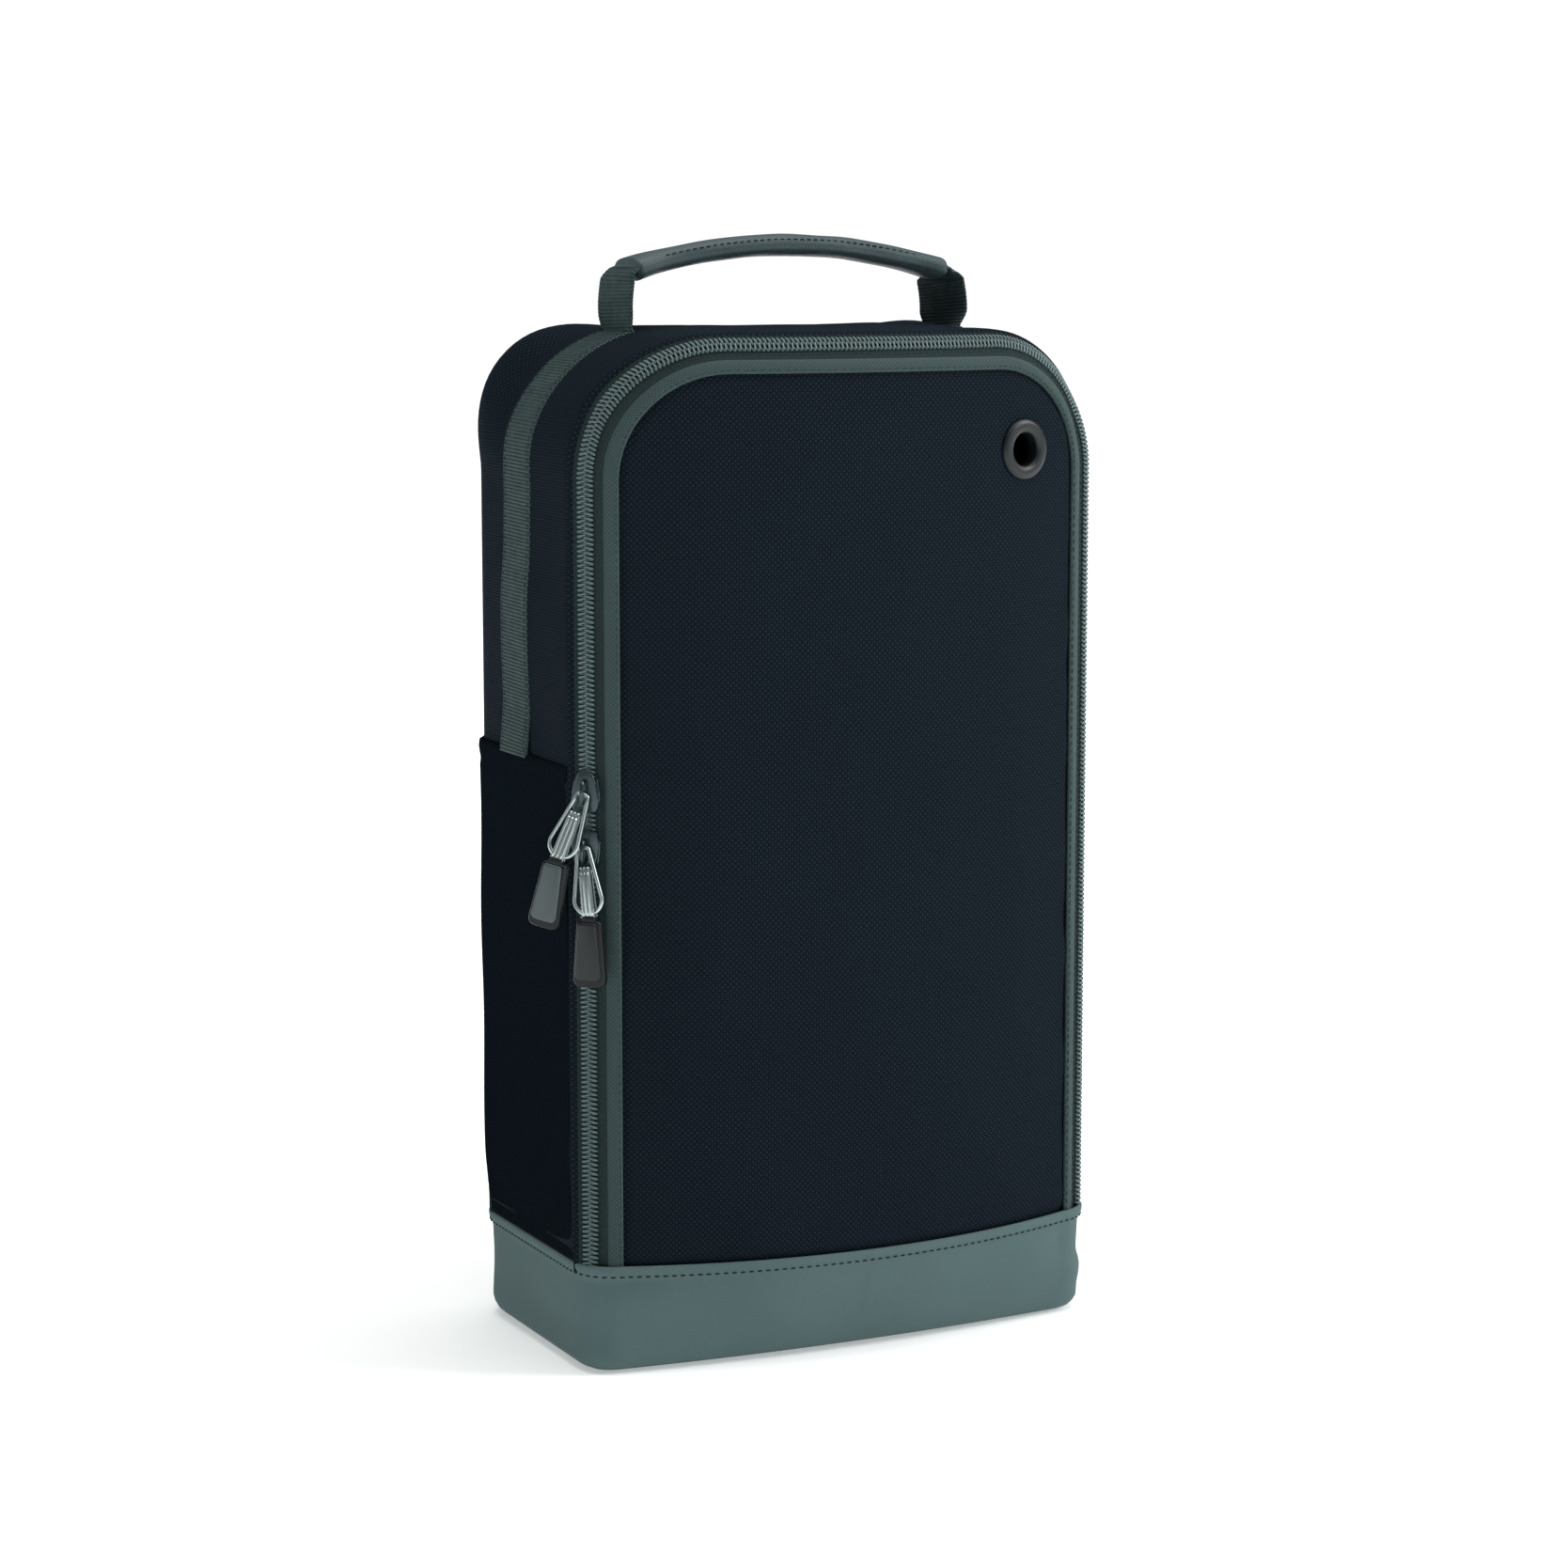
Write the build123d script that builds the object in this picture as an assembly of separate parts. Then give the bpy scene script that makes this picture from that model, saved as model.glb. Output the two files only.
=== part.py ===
"""Golf shoe bag: an upright fabric bag with a zipped front flap, a side pocket and a webbing handle.

Millimetres. +X is the bag's right as seen from the front, -Y is the front and +Z is up. The origin is on the
floor, under the middle of the bag. Every fabric piece is a plain closed solid of its real size and place.
"""

from build123d import *
import math
import os

# Driving dimensions of the bag
BAG_TOP = 370.0
SIDE_X = 103.5
BACK_Y = 64.5
TOP_CORNER_R = 50.0
BACK_EDGE_R = 22.0
FABRIC = 2.0
FRONT_EDGE_X = 94.0
FRONT_EDGE_Y = -46.0
CROWN = 19.0
BAND_TOP = 40.0
BASE_THICKNESS = 2.0
BASE_CROWN = 5.0
BASE_INSET = 3.0
SEAM_GAP = 0.4
GUSSET_SETBACK = 1.0

# Zip: the strip lies on a 45 degree chamfer between the side wall and the front panel
CHAMFER = SIDE_X - FRONT_EDGE_X
CHAMFER_MID = (-SIDE_X + CHAMFER / 2, FRONT_EDGE_Y + CHAMFER / 2)
HALF_STRIP = CHAMFER / math.sqrt(2)
COIL_T = -1.6
COIL_GAP = 0.7
COIL_HALF = 3.4
COIL_RISE = 1.5
TAPE = 0.6
RETURN_LENGTH = 5.0
PIPING = 1.6
PIPING_FROM_T = 3.8
PIPING_INSET = 13.0
BINDING_INSET = 7.2
LEG_TOP = BAG_TOP - TOP_CORNER_R - 2

# Over the top and round the corners: how far below the bag's outline each part of the zip ends, and its depths
TOP_COIL_LOW = 2.9
TOP_TAPE_LOW = 4.4
TOP_FRONT_COIL_LOW = 5.6
TOP_FRONT_TAPE_LOW = 7.0
TOP_REAR_DEPTH = -5.6
TOP_RETURN_DEPTH = -8.2

# Sliders and pulls, in the chamfer's own frame: T across the strip, N out of it, Z along it
SLIDER_HALF_WIDTH = 5.2
SLIDER_LENGTH = 15.0
SLIDER_PLATE = 1.2
SLIDER_CHANNEL = 2.1
INNER_PLATE_WIDTH = 6.2
BRIDGE_TOP_N = 7.4
BRIDGE_BAR = 1.4
BRIDGE_WIDTH = 1.7
BRIDGE_SPAN = 9.0
PIVOT_N = 4.9
UPPER_SLIDER_Z = 211.5
LOWER_SLIDER_Z = 190.5
RING_WIRE_R = 0.6
RING_NECK = 2.0
RING_HALF_WIDTH = 5.2
RING_CROWN = 0.5
RING_HEIGHT = 23.0
GRIP_LENGTH = 24.0
GRIP_TOP_WIDTH = 9.0
GRIP_BASE_WIDTH = 12.5
GRIP_THICKNESS = 5.2
STRAP_TOP = -6.5
STRAP_WIDTH = 4.6
STRAP_LEAF = 0.5

# How far each pull leans towards the front, how far its ring lifts off the zip and how its grip turns back
UPPER_LEAN = -18
UPPER_TILT = 16
UPPER_GRIP_LEAN = 6
LOWER_LEAN = 9
LOWER_TILT = 8

# Webbing and handle
WEBBING = 25.0
WEBBING_THICKNESS = 1.4
FOOT_X = 66.0
FOOT_Y = 8.5
STRAP_LOW_Y = 12.5
STRAP_LOW_Z = 221.0
RISER_LOW_Z = 370.2
RISER_TOP_Z = 389.2
ARCH_TOP_Z = 401.3
ARCH_HALF = 62.0
ARCH_END_Z = 392.6
CORE_WIDTH = 12.0
SLEEVE_HALF = 59.5
SLEEVE_WIDTH = 17.0
SLEEVE_THICKNESS = 7.4

# Side pocket on the left wall
POCKET_TOP = 219.5
POCKET_FRONT_Y = -31.0
POCKET_BACK_Y = 40.0
POCKET_WALL = 1.2
POCKET_DEPTH = 4.4
POCKET_RECESS = 1.2
HEM_HEIGHT = 9.0

# Eyelet in the front panel
EYELET_X = 65.0
EYELET_Z = 328.0
EYELET_R = 11.0
EYELET_BORE_R = 6.0
EYELET_BARREL_R = 7.0
EYELET_LIP = 1.6
EYELET_BARREL = 5.2

# Inside
BOARD_THICKNESS = 2.0
DIVIDER_THICKNESS = 1.6
DIVIDER_FRONT_Y = -30.0
DIVIDER_TOP = 350.0
BINDING = 1.6
BINDING_WIDTH = 6.0


def export(name, solid):
    """Writes one sub-part."""
    export_step(solid, f"parts/{name}.step")


def block(x0, x1, y0, y1, z0, z1):
    """A box from its corners."""
    middle = Pos((x0 + x1) / 2, (y0 + y1) / 2, (z0 + z1) / 2)
    return middle * Box(x1 - x0, y1 - y0, z1 - z0)


def crown_y(x, crown=CROWN):
    """Depth of the bowed front face at a place across the bag."""
    radius = (FRONT_EDGE_X**2 + crown**2) / (2 * crown)
    return FRONT_EDGE_Y - crown + radius - math.sqrt(radius**2 - x**2)


def plan_outline(crown):
    """The bag's horizontal section: straight sides, 45 degree zip strips and a bowed front."""
    strip_y = FRONT_EDGE_Y + CHAMFER
    back_left = (-SIDE_X, BACK_Y)
    side_left = (-SIDE_X, strip_y)
    front_left = (-FRONT_EDGE_X, FRONT_EDGE_Y)
    front_right = (FRONT_EDGE_X, FRONT_EDGE_Y)
    side_right = (SIDE_X, strip_y)
    back_right = (SIDE_X, BACK_Y)
    edges = Polyline(front_right, side_right, back_right, back_left, side_left, front_left)
    edges += ThreePointArc(front_left, (0, FRONT_EDGE_Y - crown), front_right)
    outline = make_face(edges)
    corners = outline.vertices().sort_by(Axis.Y)[-2:]
    return fillet(corners, BACK_EDGE_R)


def plan_prism(inset, z0, z1, crown=CROWN):
    """The horizontal section, drawn in by inset and pulled up from z0 to z1."""
    face = plan_outline(crown)
    if inset:
        face = offset(face, amount=-inset, kind=Kind.INTERSECTION)
    return extrude(Pos(0, 0, z0) * face, amount=z1 - z0)


def arch_face(inset, bottom=0.0):
    """The bag's outline from the front: upright sides and rounded top corners, drawn in by inset."""
    half = SIDE_X - inset
    top = BAG_TOP - inset
    sketch = Pos(0, (top + bottom) / 2) * Rectangle(2 * half, top - bottom)
    corners = sketch.vertices().sort_by(Axis.Y)[-2:]
    return fillet(corners, TOP_CORNER_R - inset)


def arch_prism(inset, y_back, y_front, bottom=0.0):
    """The front outline pulled from y_back forward to y_front."""
    plane = Plane(origin=(0, y_back, 0), x_dir=(1, 0, 0), z_dir=(0, -1, 0))
    return extrude(plane * arch_face(inset, bottom), amount=y_back - y_front)


def front_slab(behind, ahead, z0=0.0, z1=BAG_TOP + 5):
    """The space from ahead to behind the bowed front face, measured along Y."""
    reach = SIDE_X + 10
    half = FRONT_EDGE_X
    ahead_y = FRONT_EDGE_Y - ahead
    behind_y = FRONT_EDGE_Y + behind
    edges = ThreePointArc((-half, ahead_y), (0, ahead_y - CROWN), (half, ahead_y))
    edges += Polyline((half, ahead_y), (reach, ahead_y), (reach, behind_y), (half, behind_y))
    edges += ThreePointArc((half, behind_y), (0, behind_y - CROWN), (-half, behind_y))
    edges += Polyline((-half, behind_y), (-reach, behind_y), (-reach, ahead_y), (-half, ahead_y))
    return extrude(Pos(0, 0, z0) * make_face(edges), amount=z1 - z0)


def top_ring(inset_out, inset_in, behind, ahead):
    """A strip that follows the rounded top of the bag, above the straight runs of the zip."""
    y_back = FRONT_EDGE_Y + CHAMFER + 5
    y_front = FRONT_EDGE_Y - CROWN - 5
    ring = arch_prism(inset_out, y_back, y_front) - arch_prism(inset_in, y_back, y_front)
    ring = ring & front_slab(behind, ahead)
    return ring & block(-SIDE_X - 5, SIDE_X + 5, y_front, y_back, LEG_TOP, BAG_TOP + 5)


def strip_point(t, n):
    """A point on the left zip strip, t across it towards the front and n out of it."""
    root = math.sqrt(2)
    return (CHAMFER_MID[0] + (t - n) / root, CHAMFER_MID[1] - (t + n) / root)


def strip_leg(t0, t1, n0, n1, z0=BAND_TOP + SEAM_GAP, z1=LEG_TOP):
    """A straight run of one zip layer on the left and, mirrored, on the right."""
    corners = [strip_point(t0, n0), strip_point(t1, n0), strip_point(t1, n1), strip_point(t0, n1)]
    left = extrude(Pos(0, 0, z0) * make_face(Polyline(*corners, close=True)), amount=z1 - z0)
    return left + mirror(left, about=Plane.YZ)


def bag_shell():
    """Back, sides and top as one shell with a rounded back edge, open at the front and below."""
    outer = arch_prism(0, BACK_Y, -90)
    inner = arch_prism(FABRIC, BACK_Y - FABRIC, -90, bottom=-10)
    outer = fillet(rim(outer, BACK_Y), BACK_EDGE_R)
    inner = fillet(rim(inner, BACK_Y - FABRIC), BACK_EDGE_R - FABRIC)
    shell = outer - inner
    shell = shell - front_slab(CHAMFER + GUSSET_SETBACK, 60, z0=-10)
    return shell - block(-200, 200, -200, 200, -20, BAND_TOP + SEAM_GAP)


def rim(solid, y):
    """The upright and top edges of the face at one end of a front-to-back prism."""
    face = solid.faces().sort_by(Axis.Y)[-1]
    low = face.edges().sort_by(Axis.Z)[0]
    return [e for e in face.edges() if e.center().Z > low.center().Z + 1 and abs(e.center().Y - y) < 0.1]


def body_panels():
    """Back panel and the gusset that runs up the left side, over the top and down the right side."""
    shell = bag_shell()
    panel_zone = arch_prism(BACK_EDGE_R, BACK_Y + 5, BACK_Y - 10, bottom=-10)
    recess = block(-SIDE_X - 1, -SIDE_X + POCKET_RECESS, POCKET_FRONT_Y + 2, POCKET_BACK_Y - 2,
                   BAND_TOP, POCKET_TOP - 2)
    export("back_panel", shell & panel_zone)
    export("gusset", shell - panel_zone - recess)


def base_parts():
    """Band round the foot of the bag, bottom panel, stiffening board and the tape over their seam."""
    low = Pos(0, 0, BASE_THICKNESS) * plan_outline(BASE_CROWN)
    high = Pos(0, 0, BAND_TOP) * plan_outline(CROWN)
    low_in = Pos(0, 0, BASE_THICKNESS) * offset(plan_outline(BASE_CROWN), amount=-FABRIC)
    high_in = Pos(0, 0, BAND_TOP) * offset(plan_outline(CROWN), amount=-FABRIC)
    export("base_band", loft([low, high], ruled=True) - loft([low_in, high_in], ruled=True))
    export("bottom_panel", plan_prism(BASE_INSET, 0, BASE_THICKNESS, BASE_CROWN))
    board_z = BASE_THICKNESS + 0.1
    export("base_board", plan_prism(FABRIC + 3, board_z, board_z + BOARD_THICKNESS, BASE_CROWN))
    tape = plan_prism(FABRIC, BAND_TOP - BINDING_WIDTH, BAND_TOP - 0.2, BASE_CROWN)
    tape = tape - plan_prism(FABRIC + BINDING, 0, BAND_TOP + 5, BASE_CROWN)
    export("base_seam_tape", tape)


def inner_parts():
    """Tape over the back seam and the upright divider between the two shoes."""
    y_in = BACK_Y - FABRIC
    outer = arch_prism(BACK_EDGE_R + 1, y_in, y_in - BINDING, bottom=BAND_TOP + 1)
    inner = arch_prism(BACK_EDGE_R + 1 + BINDING_WIDTH, y_in + 1, y_in - BINDING - 1, bottom=0)
    export("back_seam_tape", outer - inner)
    half = DIVIDER_THICKNESS / 2
    low = BASE_THICKNESS + BOARD_THICKNESS + 0.3
    sheet = block(-half, half, DIVIDER_FRONT_Y, y_in - BINDING, low, DIVIDER_TOP)
    corner = sheet.edges().filter_by(Axis.X).group_by(Axis.Z)[-1].sort_by(Axis.Y)[0]
    sheet = fillet(corner, TOP_CORNER_R)
    export("inner_divider", sheet)


def side_pocket():
    """Flat pocket on the left wall, sewn down at its front, back and foot, with a turned hem at its mouth."""
    x_wall = -SIDE_X
    x_out = x_wall - POCKET_DEPTH - POCKET_WALL
    tray = block(x_out, x_wall, POCKET_FRONT_Y, POCKET_BACK_Y, BAND_TOP + SEAM_GAP, POCKET_TOP)
    front_back = tray.edges().filter_by(Axis.Z).group_by(Axis.X)[0]
    tray = chamfer(front_back, POCKET_DEPTH)
    cut = offset(tray, amount=-POCKET_WALL)
    lift = block(x_out + POCKET_WALL, x_wall + 1, POCKET_FRONT_Y + POCKET_DEPTH, POCKET_BACK_Y - POCKET_DEPTH,
                 BAND_TOP + SEAM_GAP + POCKET_WALL, POCKET_TOP + 1)
    side_room = block(x_wall - 1, x_wall + 1, POCKET_FRONT_Y + 2, POCKET_BACK_Y - 2,
                      BAND_TOP + SEAM_GAP + POCKET_WALL, POCKET_TOP + 1)
    hem_low = POCKET_TOP - HEM_HEIGHT
    panel = tray - cut - lift - side_room
    export("side_pocket", panel - block(-200, 0, -90, 90, hem_low, POCKET_TOP + 1))
    hem = panel & block(-200, 0, -90, 90, hem_low, POCKET_TOP + 1)
    export("pocket_hem", hem)


def strap_parts():
    """Grey webbing that is sewn up each side and round the top corner to the handle's foot."""
    inset = -WEBBING_THICKNESS
    half = WEBBING / 2
    ring = strap_layer(inset) - strap_layer(0)
    lean = (STRAP_LOW_Y - FOOT_Y) / (BAG_TOP - STRAP_LOW_Z)
    high = BAG_TOP + 5
    high_y = FOOT_Y - lean * (high - BAG_TOP)
    for side, name, foot in ((-1, "strap_left", STRAP_LOW_Z), (1, "strap_right", BAND_TOP + SEAM_GAP)):
        low_y = FOOT_Y + lean * (BAG_TOP - foot)
        if side > 0:
            low_y = STRAP_LOW_Y
        corners = [(low_y - half, foot), (low_y + half, foot), (high_y + half, high), (high_y - half, high)]
        slab = extrude(Plane.YZ * make_face(Polyline(*corners, close=True)), amount=side * 200)
        strap = ring & slab
        export(name, strap - block(-FOOT_X, FOOT_X, -90, 90, 0, high))


def strap_layer(inset):
    """The bag's outline from the front, as a prism between the webbing's two faces."""
    return arch_prism(inset, 60, -60)


def tape_return():
    """The rear tape's edge, turned back and sewn inside the gusset's front edge."""
    x_in = -SIDE_X + FABRIC
    y_front = FRONT_EDGE_Y + CHAMFER
    low = BAND_TOP + SEAM_GAP
    turn = block(x_in - 0.5, x_in + TAPE, y_front - 1.1, y_front + 0.4, low, LEG_TOP)
    turn += block(x_in, x_in + TAPE, y_front + 0.3, y_front + RETURN_LENGTH, low, LEG_TOP)
    return turn + mirror(turn, about=Plane.YZ)


def zip_parts():
    """The zip's two tapes and coils: one side stays with the bag and the other opens with the front flap."""
    rear_edge = COIL_T - COIL_GAP
    front_edge = COIL_T + COIL_GAP
    rear_tape = strip_leg(COIL_T - COIL_HALF, rear_edge, -TAPE, 0) + tape_return()
    rear_tape += top_ring(TOP_COIL_LOW, TOP_TAPE_LOW, CHAMFER, TOP_REAR_DEPTH)
    rear_tape += top_ring(FABRIC, 3.0, CHAMFER + RETURN_LENGTH, TOP_RETURN_DEPTH)
    rear_coil = strip_leg(COIL_T - COIL_HALF, rear_edge, 0, COIL_RISE) + top_ring(COIL_GAP, TOP_COIL_LOW, 8.0, TOP_REAR_DEPTH)
    front_tape = strip_leg(front_edge, PIPING_FROM_T - 0.1, -TAPE, 0) + top_ring(TOP_FRONT_COIL_LOW, TOP_FRONT_TAPE_LOW, 5.0, -1.7)
    front_coil = strip_leg(front_edge, COIL_T + COIL_HALF, 0, COIL_RISE) + top_ring(3.6, TOP_FRONT_COIL_LOW, 5.0, -2.9)
    export("zip_tape_rear", rear_tape)
    export("zip_coil_rear", rear_coil)
    export("zip_tape_front", front_tape)
    export("zip_coil_front", front_coil)


def front_flap():
    """The bowed front panel and the folded grey binding round its edge."""
    y_back = FRONT_EDGE_Y + CHAMFER
    y_front = FRONT_EDGE_Y - CROWN - 5
    panel = arch_prism(PIPING_INSET, y_back, y_front, bottom=BAND_TOP + SEAM_GAP) & front_slab(FABRIC, 0)
    panel = panel - eyelet_hole(EYELET_BARREL_R + 0.05, 20)
    export("front_panel", panel)
    export("front_binding", binding_leg() + top_ring(BINDING_INSET, PIPING_INSET, PIPING, 0)
           + top_ring(BINDING_INSET, CHAMFER - 0.5, 2 * PIPING, 0))


def binding_leg():
    """A straight run of the binding, bent over the edge between the zip strip and the front panel."""
    inner_x = -SIDE_X + PIPING_INSET
    section = [strip_point(PIPING_FROM_T, -PIPING), strip_point(PIPING_FROM_T, 0), strip_point(HALF_STRIP, 0)]
    section += [(inner_x, crown_y(inner_x)), (inner_x, crown_y(inner_x) + PIPING)]
    section += [(-FRONT_EDGE_X + PIPING / 2, FRONT_EDGE_Y + PIPING)]
    low = BAND_TOP + SEAM_GAP
    left = extrude(Pos(0, 0, low) * make_face(Polyline(*section, close=True)), amount=LEG_TOP - low)
    return left + mirror(left, about=Plane.YZ)


def eyelet_place():
    """The eyelet's own frame: its middle on the front face, with local Z out of the panel."""
    radius = (FRONT_EDGE_X**2 + CROWN**2) / (2 * CROWN)
    angle = math.asin(EYELET_X / radius)
    out = (math.sin(angle), -math.cos(angle), 0)
    return Plane(origin=(EYELET_X, crown_y(EYELET_X), EYELET_Z), x_dir=(0, 0, 1), z_dir=out)


def eyelet_hole(radius, length):
    """A round hole through the panel at the eyelet."""
    return eyelet_place() * Cylinder(radius, length)


def eyelet_parts():
    """Rolled eyelet with its barrel, and the washer that clinches it inside."""
    lip = Pos(0, 0, EYELET_LIP / 2 + 0.2) * Cylinder(EYELET_R, EYELET_LIP)
    lip = fillet(lip.edges().group_by(Axis.Z)[-1], EYELET_LIP * 0.6)
    barrel = Pos(0, 0, 0.3 - EYELET_BARREL / 2) * Cylinder(EYELET_BARREL_R, EYELET_BARREL)
    bore = Cylinder(EYELET_BORE_R, 30)
    export("eyelet", eyelet_place() * (lip + barrel - bore))
    washer = Pos(0, 0, -FABRIC - 1.4) * (Cylinder(EYELET_R - 1, 1.0) - Cylinder(EYELET_BARREL_R, 5))
    export("eyelet_washer", eyelet_place() * washer)


def slider_place(z):
    """A slider's own frame: local X across the strip, local Y up the zip and local Z out of the strip."""
    x, y = strip_point(COIL_T, 0)
    root = math.sqrt(0.5)
    return Plane(origin=(x, y, z), x_dir=(root, -root, 0), z_dir=(-root, -root, 0))


def slider_plate(width):
    """One of a slider's two plates."""
    outline = fillet(Rectangle(width, SLIDER_LENGTH).vertices(), 2.0)
    return extrude(Pos(0, 0, -SLIDER_PLATE / 2) * outline, amount=SLIDER_PLATE)


def slider_body(nose):
    """Two plates joined by a thin neck at the nose, which is +1 for a slider whose nose is up."""
    width = 2 * SLIDER_HALF_WIDTH
    plate_n = SLIDER_CHANNEL + SLIDER_PLATE / 2
    body = Pos(0, 0, plate_n) * slider_plate(width) + Pos(0, 0, -plate_n) * slider_plate(INNER_PLATE_WIDTH)
    neck = Pos(0, nose * (SLIDER_LENGTH / 2 - 3), 0) * Box(2 * COIL_GAP - 0.6, 4.5, 2 * plate_n)
    flange = Box(0.9, SLIDER_LENGTH - 5, 1.4)
    flange_x = SLIDER_HALF_WIDTH - 0.5
    for side in (-1, 1):
        body += Pos(side * flange_x, 0, SLIDER_CHANNEL - 0.3) * flange
    return body + neck


def slider_bridge():
    """The bow on top of a slider that its pull hangs from."""
    low = SLIDER_CHANNEL + SLIDER_PLATE
    end = BRIDGE_SPAN / 2 - BRIDGE_BAR / 2
    bow = Pos(0, 0, BRIDGE_TOP_N - BRIDGE_BAR / 2) * Box(BRIDGE_WIDTH, BRIDGE_SPAN, BRIDGE_BAR)
    for side in (-1, 1):
        post = Box(BRIDGE_WIDTH, BRIDGE_BAR, BRIDGE_TOP_N - low)
        bow += Pos(0, side * end, (BRIDGE_TOP_N + low) / 2) * post
    return bow


def pull_place(z, pivot_y, lean, tilt):
    """A pull's own frame: its pivot under the bow, local -Y down the pull and local Z out of the strip."""
    return slider_place(z) * Pos(0, pivot_y, PIVOT_N) * Rot(0, 0, lean) * Rot(-tilt, 0, 0)


def ring_shape():
    """The teardrop wire ring: its small end goes under the bow and its wide end carries the grip."""
    shoulder = (RING_NECK, 0)
    wide = (RING_HALF_WIDTH, RING_HALF_WIDTH - RING_HEIGHT)
    path = Line((-shoulder[0], 0), (-wide[0], wide[1]))
    path += ThreePointArc((-wide[0], wide[1]), (0, -RING_HEIGHT), wide)
    path += Line(wide, shoulder)
    path += ThreePointArc(shoulder, (0, RING_CROWN), (-shoulder[0], 0))
    outline = make_face(path)
    outer = extrude(offset(outline, amount=RING_WIRE_R), amount=RING_WIRE_R, both=True)
    inner = extrude(offset(outline, amount=-RING_WIRE_R), amount=RING_WIRE_R + 1, both=True)
    return outer - inner


def strap_loop():
    """The folded metal strap that joins the ring to the grip: its two leaves pass either side of the wire."""
    length = STRAP_TOP + RING_HEIGHT + 1.4
    middle = -(RING_HEIGHT + 1.4) + length / 2
    leaf = Box(STRAP_WIDTH, length, STRAP_LEAF)
    offset_n = RING_WIRE_R + STRAP_LEAF / 2 + 0.1
    loop = Pos(0, middle, offset_n) * leaf + Pos(0, middle, -offset_n) * leaf
    fold = Box(STRAP_WIDTH, STRAP_LEAF, 2 * offset_n + STRAP_LEAF)
    return loop + Pos(0, STRAP_TOP - STRAP_LEAF / 2, 0) * fold


def grip_shape():
    """The moulded grip: a flared tongue with softly rounded edges, hanging down local -Y from the strap."""
    half_top = GRIP_TOP_WIDTH / 2
    half_base = GRIP_BASE_WIDTH / 2
    corners = [(-half_top, 0), (half_top, 0), (half_base, -GRIP_LENGTH), (-half_base, -GRIP_LENGTH)]
    tongue = extrude(make_face(Polyline(*corners, close=True)), amount=GRIP_THICKNESS / 2, both=True)
    tongue = fillet(tongue.edges().filter_by(Axis.Z).group_by(Axis.Y)[0], 3.0)
    return fillet(tongue.edges().group_by(Axis.Z)[-1] + tongue.edges().group_by(Axis.Z)[0], 1.2)


def slider_parts(name, z, nose, pivot_y, lean, tilt, grip_lean):
    """One slider with its bow, and the pull that swings on it."""
    place = slider_place(z)
    export(f"{name}_slider_body", place * slider_body(nose))
    export(f"{name}_slider_bridge", place * slider_bridge())
    pull = pull_place(z, pivot_y, lean, tilt)
    export(f"{name}_pull_ring", pull * ring_shape())
    export(f"{name}_pull_strap", pull * strap_loop())
    grip_top = Pos(0, -RING_HEIGHT - 1.4, 0) * Rot(tilt, 0, 0) * Rot(0, 0, grip_lean) * Pos(0, -0.5, 0)
    export(f"{name}_pull_grip", pull * grip_top * grip_shape())


def riser(side):
    """One upright run of webbing between the handle's foot and the grip."""
    half = WEBBING_THICKNESS / 2
    x = side * FOOT_X
    return block(x - half, x + half, FOOT_Y - WEBBING / 2, FOOT_Y + WEBBING / 2, RISER_LOW_Z, RISER_TOP_Z)


def arch_band(thickness, width, x_limit):
    """A bowed strip about the handle's centre line."""
    chord = ARCH_HALF
    rise = ARCH_TOP_Z - ARCH_END_Z
    radius = (chord**2 + rise**2) / (2 * rise)
    centre_z = ARCH_TOP_Z - radius
    plane = Plane(origin=(0, FOOT_Y + width / 2, centre_z), x_dir=(1, 0, 0), z_dir=(0, -1, 0))
    ring = Circle(radius + thickness / 2) - Circle(radius - thickness / 2)
    band = extrude(plane * ring, amount=width)
    return band & block(-x_limit, x_limit, -60, 60, ARCH_END_Z - 30, ARCH_TOP_Z + 30)


def handle_parts():
    """Two upright runs of webbing, the webbing core of the grip and the fabric sleeve sewn round it."""
    export("handle_riser_left", riser(-1))
    export("handle_riser_right", riser(1))
    core = arch_band(WEBBING_THICKNESS, CORE_WIDTH, FOOT_X)
    ends = arch_band(WEBBING_THICKNESS, WEBBING, FOOT_X + WEBBING_THICKNESS / 2)
    core += ends - block(-SLEEVE_HALF, SLEEVE_HALF, -60, 60, 0, ARCH_TOP_Z + 30)
    export("handle_core", core)
    sleeve = arch_band(SLEEVE_THICKNESS, SLEEVE_WIDTH, SLEEVE_HALF)
    long_edges = [e for e in sleeve.edges() if e.length > SLEEVE_HALF]
    sleeve = fillet(long_edges, SLEEVE_THICKNESS * 0.4)
    export("handle_sleeve", sleeve - arch_band(WEBBING_THICKNESS, CORE_WIDTH, FOOT_X))


def build():
    """Makes every sub-part of the bag."""
    os.makedirs("parts", exist_ok=True)
    body_panels()
    base_parts()
    inner_parts()
    side_pocket()
    strap_parts()
    zip_parts()
    front_flap()
    eyelet_parts()
    slider_parts("upper", UPPER_SLIDER_Z, -1, -1.0, UPPER_LEAN, UPPER_TILT, UPPER_GRIP_LEAN)
    slider_parts("lower", LOWER_SLIDER_Z, 1, 1.0, LOWER_LEAN, LOWER_TILT, -LOWER_LEAN)
    handle_parts()


build()
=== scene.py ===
"""Looks of the golf shoe bag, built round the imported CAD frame.

Shapes are worked out in millimetres in the frame's axes (+X right, -Y front, +Z up) and turned into metres when a
mesh is made. Most edge pieces follow the rounded front outline: s runs along it from the left foot over the top to
the right foot, inset is measured inwards from it, and depth is measured backwards from the bowed front face.
"""

import math

import bmesh
import bpy
import numpy as np
from mathutils import Matrix, Vector


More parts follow.
